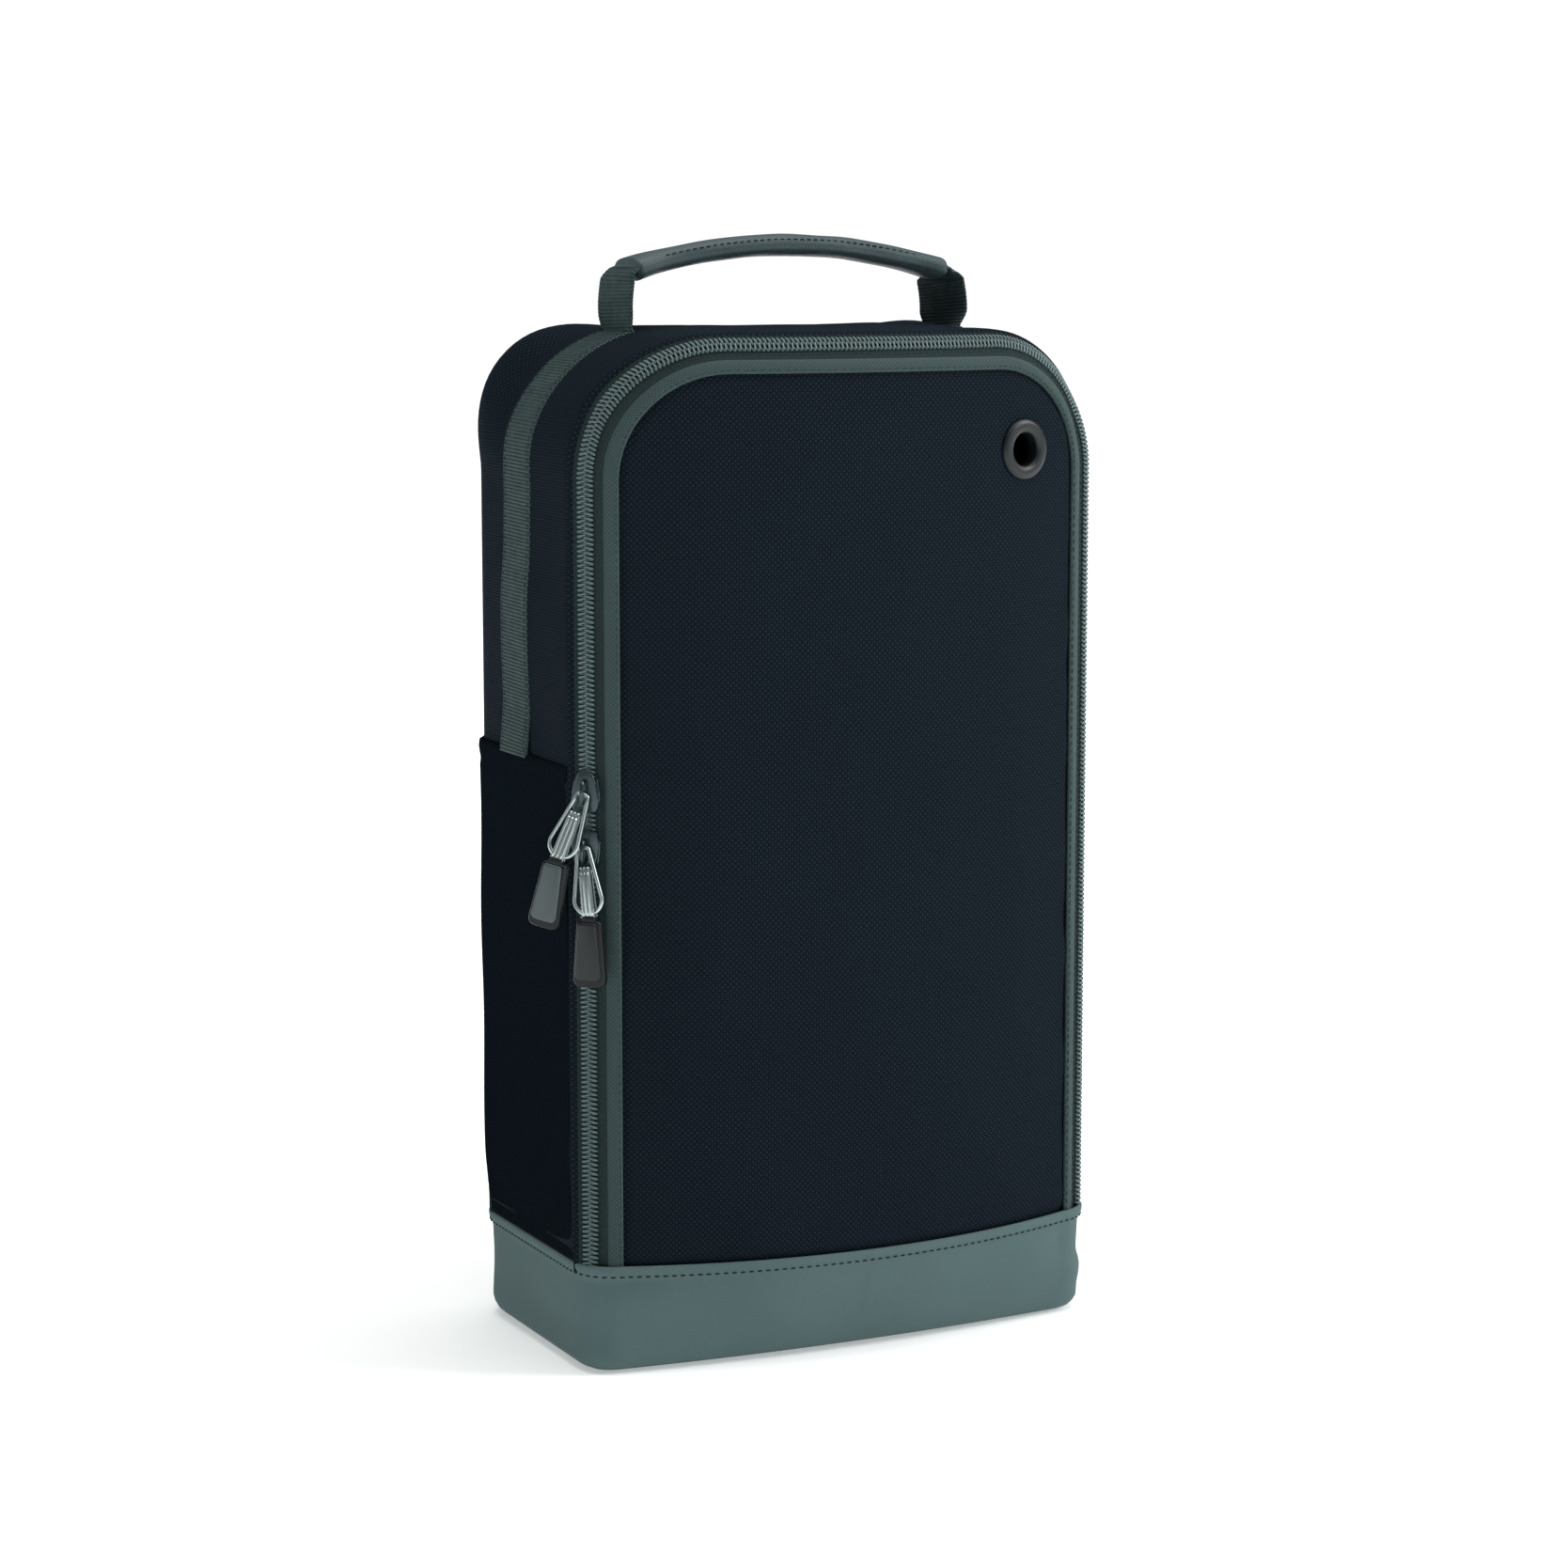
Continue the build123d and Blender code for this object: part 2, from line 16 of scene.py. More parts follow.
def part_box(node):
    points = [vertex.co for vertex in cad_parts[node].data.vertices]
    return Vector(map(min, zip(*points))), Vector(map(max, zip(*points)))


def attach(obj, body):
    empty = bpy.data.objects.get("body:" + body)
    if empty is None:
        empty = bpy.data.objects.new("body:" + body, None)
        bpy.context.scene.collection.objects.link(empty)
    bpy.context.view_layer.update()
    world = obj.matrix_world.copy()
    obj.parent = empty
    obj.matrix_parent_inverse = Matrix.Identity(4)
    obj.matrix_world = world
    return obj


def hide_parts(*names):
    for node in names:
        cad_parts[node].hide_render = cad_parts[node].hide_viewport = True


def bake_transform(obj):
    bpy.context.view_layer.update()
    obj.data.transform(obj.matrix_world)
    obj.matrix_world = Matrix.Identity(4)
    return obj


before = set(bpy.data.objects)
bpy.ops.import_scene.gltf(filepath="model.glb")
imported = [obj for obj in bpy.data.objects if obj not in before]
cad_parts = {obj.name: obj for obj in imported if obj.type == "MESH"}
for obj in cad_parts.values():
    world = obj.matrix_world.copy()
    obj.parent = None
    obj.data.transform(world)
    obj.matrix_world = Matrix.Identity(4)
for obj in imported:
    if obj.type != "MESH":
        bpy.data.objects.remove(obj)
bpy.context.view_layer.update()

MM = 0.001
ROOT2 = math.sqrt(2)


def box_mm(node):
    """Lowest and highest corner of a CAD node in millimetres."""
    low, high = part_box(node)
    return np.array(low) / MM, np.array(high) / MM


# The bag's main sizes, read from the frame, and the few that its boxes don't give
SIDE_X = box_mm("gusset")[1][0]
TOP_Z = box_mm("gusset")[1][2]
BACK_Y = box_mm("back_panel")[1][1]
BAND_TOP = box_mm("base_band")[1][2]
POCKET_TOP = box_mm("pocket_hem")[1][2]
CHAMFER = 9.5
FRONT_X = SIDE_X - CHAMFER
FRONT_Y = -46.0
CROWN = FRONT_Y - box_mm("base_band")[0][1]
FRONT_R = (FRONT_X**2 + CROWN**2) / (2 * CROWN)
CORNER_R = 50.0
CORNER_X = SIDE_X - CORNER_R
CORNER_Z = TOP_Z - CORNER_R
BACK_EDGE_R = 22.0
WALL_END_Y = BACK_Y - BACK_EDGE_R
BASE_CROWN = 5.0

# The outline starts a little below the band's top edge, so that every piece runs down behind the band
TUCK = 3.0
LOW_Z = BAND_TOP - TUCK
LEG = CORNER_Z - LOW_Z
CORNER_RUN = CORNER_R * math.pi / 2
OUTLINE_LENGTH = 2 * (LEG + CORNER_RUN + CORNER_X)

# Thickness of the bag's fabric and of the tapes
FABRIC = 1.2
TAPE = 0.5
SEAM_PITCH = 3.1

# Zip strip, in its own frame: t across it towards the front, n out of it
COIL_T = -1.6
COIL_PITCH = 1.7
COIL_WIRE = 0.4
PANEL_INSET = 13.0


# ---------------------------------------------------------------- shapes


def ripple(u, v, wavelength, seed):
    """Soft, uneven waves from about -1 to 1 over u and v, the same for the same seed."""
    draw = np.random.default_rng(seed)
    total = 0
    for _ in range(7):
        angle = draw.uniform(0, math.pi)
        wave = wavelength * draw.uniform(0.6, 1.7)
        phase = draw.uniform(0, 2 * math.pi)
        total = total + np.sin(2 * math.pi * (u * math.cos(angle) + v * math.sin(angle)) / wave + phase)
    return total / 3.0


def ease(x):
    """0 below 0, 1 above 1 and smooth between."""
    x = np.clip(x, 0, 1)
    return x * x * (3 - 2 * x)


def crown_y(x, crown=CROWN):
    """Depth of the bowed front face at a place across the bag."""
    radius = (FRONT_X**2 + crown**2) / (2 * crown)
    x = np.clip(np.abs(x), 0, FRONT_X)
    return FRONT_Y - crown + radius - np.sqrt(radius**2 - x**2)


def outline(s):
    """Points (x, z) and outward normals (x, z) of the front outline at distances s along it."""
    s = np.asarray(s, float)
    near = np.minimum(s, OUTLINE_LENGTH - s)
    side = np.where(s > OUTLINE_LENGTH / 2, -1.0, 1.0)
    angle = np.clip((near - LEG) / CORNER_R, 0, math.pi / 2)
    x = -CORNER_X - CORNER_R * np.cos(angle) + np.clip(near - LEG - CORNER_RUN, 0, None)
    z = LOW_Z + np.minimum(near, LEG) + CORNER_R * np.sin(angle)
    return x * side, z, -np.cos(angle) * side, np.sin(angle)


def skin(s, inset, depth):
    """Points at distances s along the outline, inset from it and depth behind the front face."""
    x, z, nx, nz = outline(s)
    x = x - inset * nx
    z = z - inset * nz
    x, z, y = np.broadcast_arrays(x, z, crown_y(x) + depth)
    return np.stack([x, y, z], -1)


def strip(s, t, n):
    """Points on the zip strip: t across it and n out of it."""
    return skin(s, CHAMFER / 2 + (t - n) / ROOT2, CHAMFER / 2 - (t + n) / ROOT2)


def along(length, step, start=0.0):
    """Evenly spaced distances from start over length, about step apart."""
    return start + np.linspace(0, length, max(2, int(round(length / step)) + 1))


def lengths(points):
    """Running length along a line of points."""
    return np.concatenate([[0], np.cumsum(np.linalg.norm(np.diff(points, axis=0), axis=1))])


def unit(v):
    """v scaled to length 1 along its last axis."""
    return v / np.maximum(np.linalg.norm(v, axis=-1, keepdims=True), 1e-9)


def make(name, points, faces, material, uv=None, smooth=True):
    """A mesh object from points in mm; uv holds one (u, v) in mm for each face corner."""
    mesh = bpy.data.meshes.new(name)
    mesh.from_pydata((np.asarray(points).reshape(-1, 3) * MM).tolist(), [], faces)
    layer = mesh.uv_layers.new(name="fabric_mm")
    if uv is not None:
        layer.data.foreach_set("uv", np.asarray(uv, np.float32).ravel())
    mesh.polygons.foreach_set("use_smooth", [smooth] * len(mesh.polygons))
    mesh.materials.append(material)
    mesh.update()
    item = bpy.data.objects.new(name, mesh)
    bpy.context.scene.collection.objects.link(item)
    return item


def grid(name, points, u, v, material, closed=False, caps=False, flip=False):
    """A mesh from rows x columns of points. u and v are in mm, with one more column than points where it's closed."""
    rows, cols = points.shape[:2]
    across = cols if closed else cols - 1
    r, c = (a.ravel() for a in np.meshgrid(np.arange(rows - 1), np.arange(across), indexing="ij"))
    steps = [(0, 0), (0, 1), (1, 1), (1, 0)]
    if flip:
        steps.reverse()
    faces = np.stack([(r + dr) * cols + (c + dc) % cols for dr, dc in steps], 1)
    u, v = np.broadcast_arrays(np.asarray(u, float), np.asarray(v, float))
    uv = np.stack([np.stack([u[r + dr, c + dc], v[r + dr, c + dc]], -1) for dr, dc in steps], 1).reshape(-1, 2)
    faces = faces.tolist()
    if caps:
        first = list(range(cols))
        last = list(range((rows - 1) * cols, rows * cols))
        faces += [first if flip else first[::-1], last[::-1] if flip else last]
        flat = points[[0, -1]].reshape(-1, 3)[:, :2]
        uv = np.concatenate([uv, flat])
    return make(name, points, faces, material, uv)


def edge_piece(name, s, section, material, caps=False, closed=False, flip=False):
    """Sweeps a section of (inset, depth) pairs along the outline. Each entry may be a number or one value per s."""
    columns = [skin(s, inset, depth) for inset, depth in section]
    points = np.stack(columns, 1)
    middle = points[len(s) // 2]
    around = lengths(np.concatenate([middle, middle[:1]]) if closed else middle)
    return grid(name, points, around[None, :], np.asarray(s)[:, None], material, closed, caps, flip)


def thicken(item, thickness):
    """Gives a sheet its real thickness, inwards from its outer face."""
    solid = item.modifiers.new("thickness", "SOLIDIFY")
    solid.thickness = thickness * MM
    solid.offset = -1
    return item


def tube(name, path, radius, across, material, sides=8, closed=False):
    """A round wire along path; across is a direction, or one for each point, that the wire never runs along."""
    path = np.asarray(path, float)
    if closed:
        tangent = unit(np.roll(path, -1, 0) - np.roll(path, 1, 0))
    else:
        tangent = unit(np.gradient(path, axis=0))
    first = unit(np.cross(tangent, across))
    second = np.cross(tangent, first)
    angle = np.linspace(0, 2 * math.pi, sides, endpoint=False)
    radius = np.broadcast_to(np.asarray(radius, float), len(path))[:, None, None]
    ring = first[:, None] * np.cos(angle)[None, :, None] + second[:, None] * np.sin(angle)[None, :, None]
    points = path[:, None] + ring * radius
    run = lengths(path)
    if closed:
        points = np.concatenate([points, points[:1]])
        run = np.append(run, run[-1] + 1)
    around = np.linspace(0, 2 * math.pi * float(radius.max()), sides + 1)
    item = grid(name, points, around[None, :], run[:, None], material, closed=True, caps=not closed)
    if closed:
        weld(item)
    return item


def weld(item):
    """Joins points of a mesh that lie on each other."""
    work = bmesh.new()
    work.from_mesh(item.data)
    bmesh.ops.remove_doubles(work, verts=work.verts, dist=1e-6)
    work.to_mesh(item.data)
    work.free()


def round_polygon(corners, radius, steps=6):
    """A closed outline through corners, each rounded off by about radius (one number, or one for each corner)."""
    corners = np.asarray(corners, float)
    radii = np.broadcast_to(radius, len(corners))
    points = []
    for i, corner in enumerate(corners):
        before = corner + unit(corners[i - 1] - corner) * radii[i]
        after = corner + unit(corners[(i + 1) % len(corners)] - corner) * radii[i]
        for t in np.linspace(0, 1, steps):
            points.append((1 - t) ** 2 * before + 2 * t * (1 - t) * corner + t**2 * after)
    return np.array(points)


def pillow(name, shape, profile, place, material):
    """A flat solid with a shaped edge: a closed outline, and the profile's (inset, height) pairs from below up."""
    ahead = unit(np.roll(shape, -1, 0) - shape)
    behind = unit(shape - np.roll(shape, 1, 0))
    tangent = unit(ahead + behind)
    inward = np.stack([-tangent[:, 1], tangent[:, 0]], 1)
    rows = [np.column_stack([shape + inward * inset, np.full(len(shape), height)]) for inset, height in profile]
    points = np.stack(rows)
    local = points.reshape(-1, 3)
    run = lengths(np.concatenate([points[0], points[0][:1]]))
    heights = np.array([height for _, height in profile])
    placed = (local @ place[:3, :3].T + place[:3, 3]).reshape(points.shape)
    return grid(name, placed, run[None, :], heights[:, None], material, closed=True, caps=True)


def bevelled(low, high, edge):
    """A pillow profile with rounded edges between two heights."""
    bend = [(1 - math.cos(a), 1 - math.sin(a)) for a in np.linspace(0, math.pi / 2, 5)]
    under = [(edge * drop, low + edge * rise) for rise, drop in [(p[0], p[1]) for p in bend]]
    over = [(inset, low + high - height) for inset, height in reversed(under)]
    return under + over


def lathe(name, profile, place, material, steps=64):
    """A turned ring from a closed profile of (radius, height) pairs about the place's Z axis."""
    angle = np.linspace(0, 2 * math.pi, steps + 1)
    profile = np.asarray(profile, float)
    ring = np.stack([np.cos(angle), np.sin(angle)], -1)
    points = np.concatenate([ring[:, None] * profile[None, :, :1],
                             np.broadcast_to(profile[None, :, 1:], (len(angle), len(profile), 1))], -1)
    placed = (points.reshape(-1, 3) @ place[:3, :3].T + place[:3, 3]).reshape(points.shape)
    around = lengths(np.concatenate([profile, profile[:1]]))
    item = grid(name, placed, around[None, :], (angle * profile[:, 0].max())[:, None], material, closed=True)
    weld(item)
    return item


def webbing(name, centres, normals, width, thickness, material, rib_pitch=1.3, rib=0.22, start=0.0, ends=None):
    """A woven strap: centres and face normals along it, ribbed across both faces."""
    centres = np.asarray(centres, float)
    run = lengths(centres)
    fine = np.linspace(0, run[-1], max(12, int(run[-1] / rib_pitch * 5)))
    path = np.stack([np.interp(fine, run, centres[:, k]) for k in range(3)], 1)
    normal = unit(np.stack([np.interp(fine, run, np.asarray(normals, float)[:, k]) for k in range(3)], 1))
    width = np.interp(fine, run, np.broadcast_to(np.asarray(width, float), len(run)))
    tangent = unit(np.gradient(path, axis=0))
    if ends:
        tangent[0], tangent[-1] = ends
    across = unit(np.cross(tangent, normal))
    places = np.array([-1, -0.985, -0.94, -0.7, -0.35, 0, 0.35, 0.7, 0.94, 0.985, 1])
    half = np.array([0.1, 0.32, 0.47, 0.5, 0.5, 0.5, 0.5, 0.5, 0.47, 0.32, 0.1]) * thickness
    side = np.concatenate([places, places[::-1]])
    lift = np.concatenate([half, -half[::-1]])
    rib_wave = np.abs(np.sin(math.pi * (fine + start) / rib_pitch)) ** 0.7 * rib
    lift = lift[None, :] + np.sign(lift)[None, :] * rib_wave[:, None] * (np.abs(side) < 0.95)
    edge = 1 + 0.006 * np.sin(2 * math.pi * (fine + start) / rib_pitch)
    points = path[:, None] + across[:, None] * (side[None, :, None] * (edge * width)[:, None, None] / 2)
    points = points + normal[:, None] * lift[:, :, None]
    around = lengths(np.concatenate([points[0], points[0][:1]]))
    return grid(name, points, around[None, :], (fine + start)[:, None], material, closed=True, caps=True)


def stitches(name, points, normals, material, share=0.66, radius=0.27, lie=0.0):
    """A row of sewn stitches: one thread loop at each of the evenly spaced points, along the line they make."""
    points = np.asarray(points, float)
    normal = unit(np.broadcast_to(np.asarray(normals, float), points.shape))
    step = np.gradient(points, axis=0)
    pitch = np.linalg.norm(step, axis=1)[:, None]
    tangent = unit(step)
    across = np.cross(normal, tangent)
    ring = np.linspace(0, 2 * math.pi, 6, endpoint=False)
    ends = np.array([-0.5, -0.42, -0.2, 0.2, 0.42, 0.5])
    girth = np.array([0.3, 0.8, 1.0, 1.0, 0.8, 0.3]) * radius
    rise = np.array([-0.9, -0.2, 0.25, 0.25, -0.2, -0.9]) * radius + lie
    centre = points[:, None] + tangent[:, None] * (ends[None, :, None] * pitch[:, None] * share)
    centre = centre + normal[:, None] * rise[None, :, None]
    loops = (across[:, None, None] * np.cos(ring)[None, None, :, None]
             + normal[:, None, None] * np.sin(ring)[None, None, :, None]) * girth[None, :, None, None]
    cloud = centre[:, :, None] + loops
    count, rows, cols = cloud.shape[:3]
    faces = []
    for k in range(count):
        base = k * rows * cols
        for r in range(rows - 1):
            for c in range(cols):
                d = (c + 1) % cols
                faces.append([base + r * cols + c, base + r * cols + d, base + (r + 1) * cols + d,
                              base + (r + 1) * cols + c])
        faces.append([base + c for c in range(cols)][::-1])
        faces.append([base + (rows - 1) * cols + c for c in range(cols)])
    return make(name, cloud, faces, material)


# ---------------------------------------------------------------- materials


class Nodes:
    """The node tree of one material, with short calls for the nodes it uses."""

    def __init__(self, name):
        self.material = bpy.data.materials.new(name)
        self.material.use_nodes = True
        self.tree = self.material.node_tree
        self.shader = self.tree.nodes["Principled BSDF"]

    def add(self, kind, inputs=None, **settings):
        node = self.tree.nodes.new("ShaderNode" + kind)
        for key, value in settings.items():
            setattr(node, key, value)
        for key, value in (inputs or {}).items():
            self.put(node.inputs[key], value)
        return node

    def put(self, socket, value):
        if isinstance(value, bpy.types.NodeSocket):
            self.tree.links.new(value, socket)
        else:
            socket.default_value = value

    def math(self, operation, a, b=0.0):
        return self.add("Math", {0: a, 1: b}, operation=operation).outputs[0]

    def mix(self, share, a, b):
        """Colour a at share 0 and b at share 1."""
        node = self.add("Mix", {0: share, 6: a, 7: b}, data_type="RGBA")
        return node.outputs[2]

    def noise(self, scale, detail=3.0, vector=None):
        """Noise of about 1 / scale metres over the object."""
        place = vector or self.add("TexCoord").outputs["Object"]
        return self.add("TexNoise", {"Vector": place, "Scale": scale, "Detail": detail}).outputs["Fac"]

    def uv(self):
        """The two fabric coordinates in mm."""
        split = self.add("SeparateXYZ", {0: self.add("UVMap", uv_map="fabric_mm").outputs[0]})
        return split.outputs[0], split.outputs[1]

    def wave(self, value, pitch, shift=0.0):
        """A sine over a coordinate in mm, whose humps are pitch apart."""
        return self.math("SINE", self.math("ADD",
                                           self.math("MULTIPLY", value, math.pi / pitch), shift))

    def bump(self, height, distance, strength=1.0, normal=None):
        inputs = {"Height": height, "Distance": distance * MM, "Strength": strength}
        if normal is not None:
            inputs["Normal"] = normal
        return self.add("Bump", inputs).outputs[0]

    def finish(self, colour, roughness, normal=None, **sockets):
        self.put(self.shader.inputs["Base Color"], colour)
        self.put(self.shader.inputs["Roughness"], roughness)
        if normal is not None:
            self.put(self.shader.inputs["Normal"], normal)
        for key, value in sockets.items():
            self.shader.inputs[key.replace("_", " ")].default_value = value
        return self.material


def rgb(r, g, b):
    """A display colour as linear light."""
    linear = [c / 12.92 if c <= 0.04045 else ((c + 0.055) / 1.055) ** 2.4 for c in (r / 255, g / 255, b / 255)]
    return (*linear, 1.0)


def scaled(colour, share):
    """A colour made lighter or darker."""
    return (*[c * share for c in colour[:3]], 1.0)


def woven(name, colour, pitch, relief, roughness=0.72, contrast=0.45, sheen=0.03, specular=0.14, blotch=0.16):
    """Plain-weave fabric: crossed threads pitch mm apart, painted lighter on their tops and darker in the gaps between
    them (painted shade), with fibre, fading and soft dirt variation.
    """
    n = Nodes(name)
    u, v = n.uv()
    product = n.math("MULTIPLY", n.wave(u, pitch), n.wave(v, pitch))
    height = n.math("POWER", n.math("ABSOLUTE", product), 0.5)
    over = n.math("GREATER_THAN", product, 0.0)
    threads = n.math("ADD", n.math("MULTIPLY", over, 0.5), n.math("MULTIPLY", height, 0.5))
    fibre = n.noise(2600.0, 2.0)
    large = n.noise(16.0, 4.0)
    # Painted shade: the tone follows the threads, darker in the gaps between them and lighter on their tops, and it
    # also differs between the two crossing threads.
    tone = n.mix(threads, scaled(colour, 1 - contrast), scaled(colour, 1 + contrast))
    tone = n.mix(n.math("MULTIPLY", fibre, 0.3), tone, scaled(colour, 1.4))
    tone = n.mix(n.math("MULTIPLY", large, 2 * blotch), tone, scaled(colour, 0.55))
    normal = n.bump(n.math("ADD", n.math("MULTIPLY", height, 0.8), n.math("MULTIPLY", fibre, 0.4)), relief)
    normal = n.bump(n.noise(55.0, 3.0), 0.5, 0.35, normal)
    rough = n.math("SUBTRACT", roughness, n.math("MULTIPLY", threads, 0.12))
    return n.finish(tone, rough, normal, Sheen_Weight=sheen, Sheen_Roughness=0.45, Specular_IOR_Level=specular)


def ribbed(name, colour, pitch, relief, roughness=0.6):
    """Strap webbing: ribs across the strap, each made of short crossing threads, painted almost black in the grooves
    and light on the thread tops (painted shade), with soft random patches of tone.
    """
    n = Nodes(name)
    u, v = n.uv()
    row = n.math("FLOOR", n.math("DIVIDE", v, pitch))
    shift = n.math("MULTIPLY", row, math.pi / 2)
    across = n.math("SINE", n.math("ADD", n.math("MULTIPLY", u, math.pi / 0.95), shift))
    rib = n.math("ABSOLUTE", n.wave(v, pitch))
    thread = n.math("MULTIPLY", n.math("ABSOLUTE", across), n.math("POWER", rib, 0.6))
    fibre = n.noise(2200.0, 2.0)
    patch = n.noise(240.0, 3.0)
    # Painted shade: lit runs from the grooves, painted almost black, to the thread tops, painted light, mixed with
    # soft random patches of tone.
    lit = n.math("MULTIPLY", n.math("ADD", n.math("MULTIPLY", thread, 0.75), n.math("MULTIPLY", patch, 0.5)), 0.9)
    tone = n.mix(lit, scaled(colour, 0.12), scaled(colour, 1.75))
    normal = n.bump(n.math("ADD", thread, n.math("MULTIPLY", fibre, 0.3)), relief)
    return n.finish(tone, roughness, normal, Specular_IOR_Level=0.05)


def moulded(name, colour, roughness, grain=0.03, specular=0.5, coat=0.0, metallic=0.0, wear=1.35):
    """Moulded plastic, enamel or plated metal, with fine grain, uneven gloss and soft random patches made paler or
    darker by the wear share.
    """
    n = Nodes(name)
    speck = n.noise(1400.0, 3.0)
    smudge = n.noise(120.0, 4.0)
    tone = n.mix(n.math("MULTIPLY", smudge, 0.5), colour, scaled(colour, wear))
    rough = n.math("ADD", roughness - 0.05, n.math("MULTIPLY", smudge, 0.12))
    normal = n.bump(speck, grain)
    return n.finish(tone, rough, normal, Specular_IOR_Level=specular, Coat_Weight=coat, Coat_Roughness=0.15,
                    Metallic=metallic)


BLACK = scaled(rgb(31, 41, 49), 0.68)
GREY = rgb(98, 120, 121)

black_polyester = woven("black_polyester", BLACK, 1.05, 0.34, contrast=0.85, sheen=0.0, specular=0.01)
black_fine = woven("black_polyester_fine", scaled(BLACK, 0.55), 0.7, 0.16, contrast=0.5, sheen=0.0, specular=0.0)
grey_polyester = woven("grey_polyester", scaled(GREY, 0.88), 0.55, 0.1, contrast=0.2, blotch=0.24, specular=0.04)
binding_tape = woven("grey_binding", scaled(GREY, 0.42), 0.8, 0.18, contrast=0.4, specular=0.04)
zip_twill = woven("zip_twill", scaled(GREY, 0.22), 0.6, 0.14, contrast=0.4, specular=0.0)
lining = woven("lining", scaled(BLACK, 1.6), 0.3, 0.05, contrast=0.15, roughness=0.6)
grip_fabric = woven("grip_fabric", scaled(rgb(84, 104, 108), 0.55), 0.7, 0.12, roughness=0.42, contrast=0.4, sheen=0.0,
                    specular=0.2)
grey_webbing = ribbed("grey_webbing", scaled(GREY, 0.4), 1.3, 0.4)
coil_nylon = moulded("coil_nylon", scaled(GREY, 0.72), 0.34, 0.01)
thread_grey = moulded("thread_grey", scaled(GREY, 0.2), 0.6, 0.06, specular=0.2)
thread_dark = moulded("thread_dark", scaled(GREY, 0.09), 0.6, 0.06, specular=0.15)
enamel = moulded("eyelet_enamel", rgb(16, 22, 25), 0.4, 0.004, specular=0.35)
chrome = moulded("ring_chrome", rgb(196, 208, 208), 0.3, 0.0, metallic=1.0, wear=0.8)
gunmetal = moulded("slider_metal", rgb(60, 72, 75), 0.26, 0.0, metallic=0.9, wear=1.25)
satin_plastic = moulded("grip_plastic", rgb(58, 70, 72), 0.36, 0.0, coat=0.1)
# A darker copy of the grip plastic for the lower pull's face: painted shade, since both pulls' faces are the same
# plastic.
shaded_grip_plastic = moulded("grip_plastic_painted_shade", rgb(22, 29, 32), 0.3, 0.0, specular=0.35)
rubber = moulded("grip_edge", rgb(12, 17, 20), 0.34, 0.0, specular=0.25)
board_card = moulded("stiffener_board", rgb(44, 46, 47), 0.7, 0.08)


def settle(item, body, node_names=()):
    """Puts a piece with the body it moves with, or bakes its place in when the body is the flap, and hides the CAD
    nodes it stands for.
    """
    if body == "flap":
        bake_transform(item)
    else:
        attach(item, body)
    if node_names:
        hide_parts(*node_names)
    return item


# ---------------------------------------------------------------- bag body


GUSSET_FRONT_Y = -45.0
SEAM_DEPTH = CHAMFER + 3.6


def gusset_puff(s, y):
    """How far the gusset stands out from its flat outline."""
    share = np.clip((y - GUSSET_FRONT_Y) / (WALL_END_Y - GUSSET_FRONT_Y), 0, 1)
    hold = np.sin(math.pi * share) ** 0.8
    above_band = ease((np.minimum(s, OUTLINE_LENGTH - s) - TUCK) / 40)
    tucked = 1 - ease((np.minimum(s, OUTLINE_LENGTH - s) - TUCK - 0.5) / 5)
    return hold * above_band * (0.9 + 0.55 * ripple(s, y, 75.0, 3) + 0.18 * ripple(s, y, 26.0, 4)) - 0.8 * tucked


def corner_fill(s):
    """How far the bag's back corners are pushed out past their rounding by what it holds."""
    turn = np.clip((np.minimum(s, OUTLINE_LENGTH - s) - LEG) / CORNER_RUN, 0, 1)
    return 8.5 * np.sin(math.pi * turn) ** 1.5


def build_gusset():
    """Sides and top in one strip, turned in at the zip and rounded into the back."""
    s = along(OUTLINE_LENGTH, 3.0)
    x, z, nx, nz = (a[:, None] for a in outline(s))
    front = crown_y(x) + CHAMFER + 1.0
    turn = [(3.0, 0.4), (1.8, -0.2), (0.7, 0.0), (0.1, 0.7)]
    share = np.linspace(0, 1, 38)[None, :]
    wall_y = front + 1.6 + (WALL_END_Y - front - 1.6) * share
    bend = np.linspace(0, math.pi / 2, 12)[1:][None, :]
    fill = corner_fill(s)[:, None]
    inset = np.concatenate([np.broadcast_to([i for i, _ in turn], (len(s), len(turn))),
                            -gusset_puff(s[:, None], wall_y) - fill * ease((wall_y - 24) / 18),
                            BACK_EDGE_R * (1 - np.cos(bend)) - fill * np.cos(bend)], 1)
    y = np.concatenate([front + np.array([d for _, d in turn])[None, :], wall_y,
                        np.broadcast_to(WALL_END_Y + BACK_EDGE_R * np.sin(bend), (len(s), bend.size))], 1)
    points = np.stack([x - inset * nx, y, z - inset * nz], -1)
    around = lengths(points[len(s) // 2])
    gusset = grid("gusset_fabric", points, around[None, :], s[:, None], black_polyester)
    settle(thicken(gusset, FABRIC), "bag_body", ["gusset"])
    row = along(OUTLINE_LENGTH - 2 * TUCK - 8, SEAM_PITCH, TUCK + 4)
    seat = -gusset_puff(row, crown_y(outline(row)[0]) + SEAM_DEPTH)
    line = skin(row, seat, SEAM_DEPTH)
    _, _, nx, nz = outline(row)
    settle(stitches("gusset_stitches", line, np.stack([nx, 0 * nx, nz], -1), thread_dark), "bag_body")


BACK_SEAM_INSET = 26.0


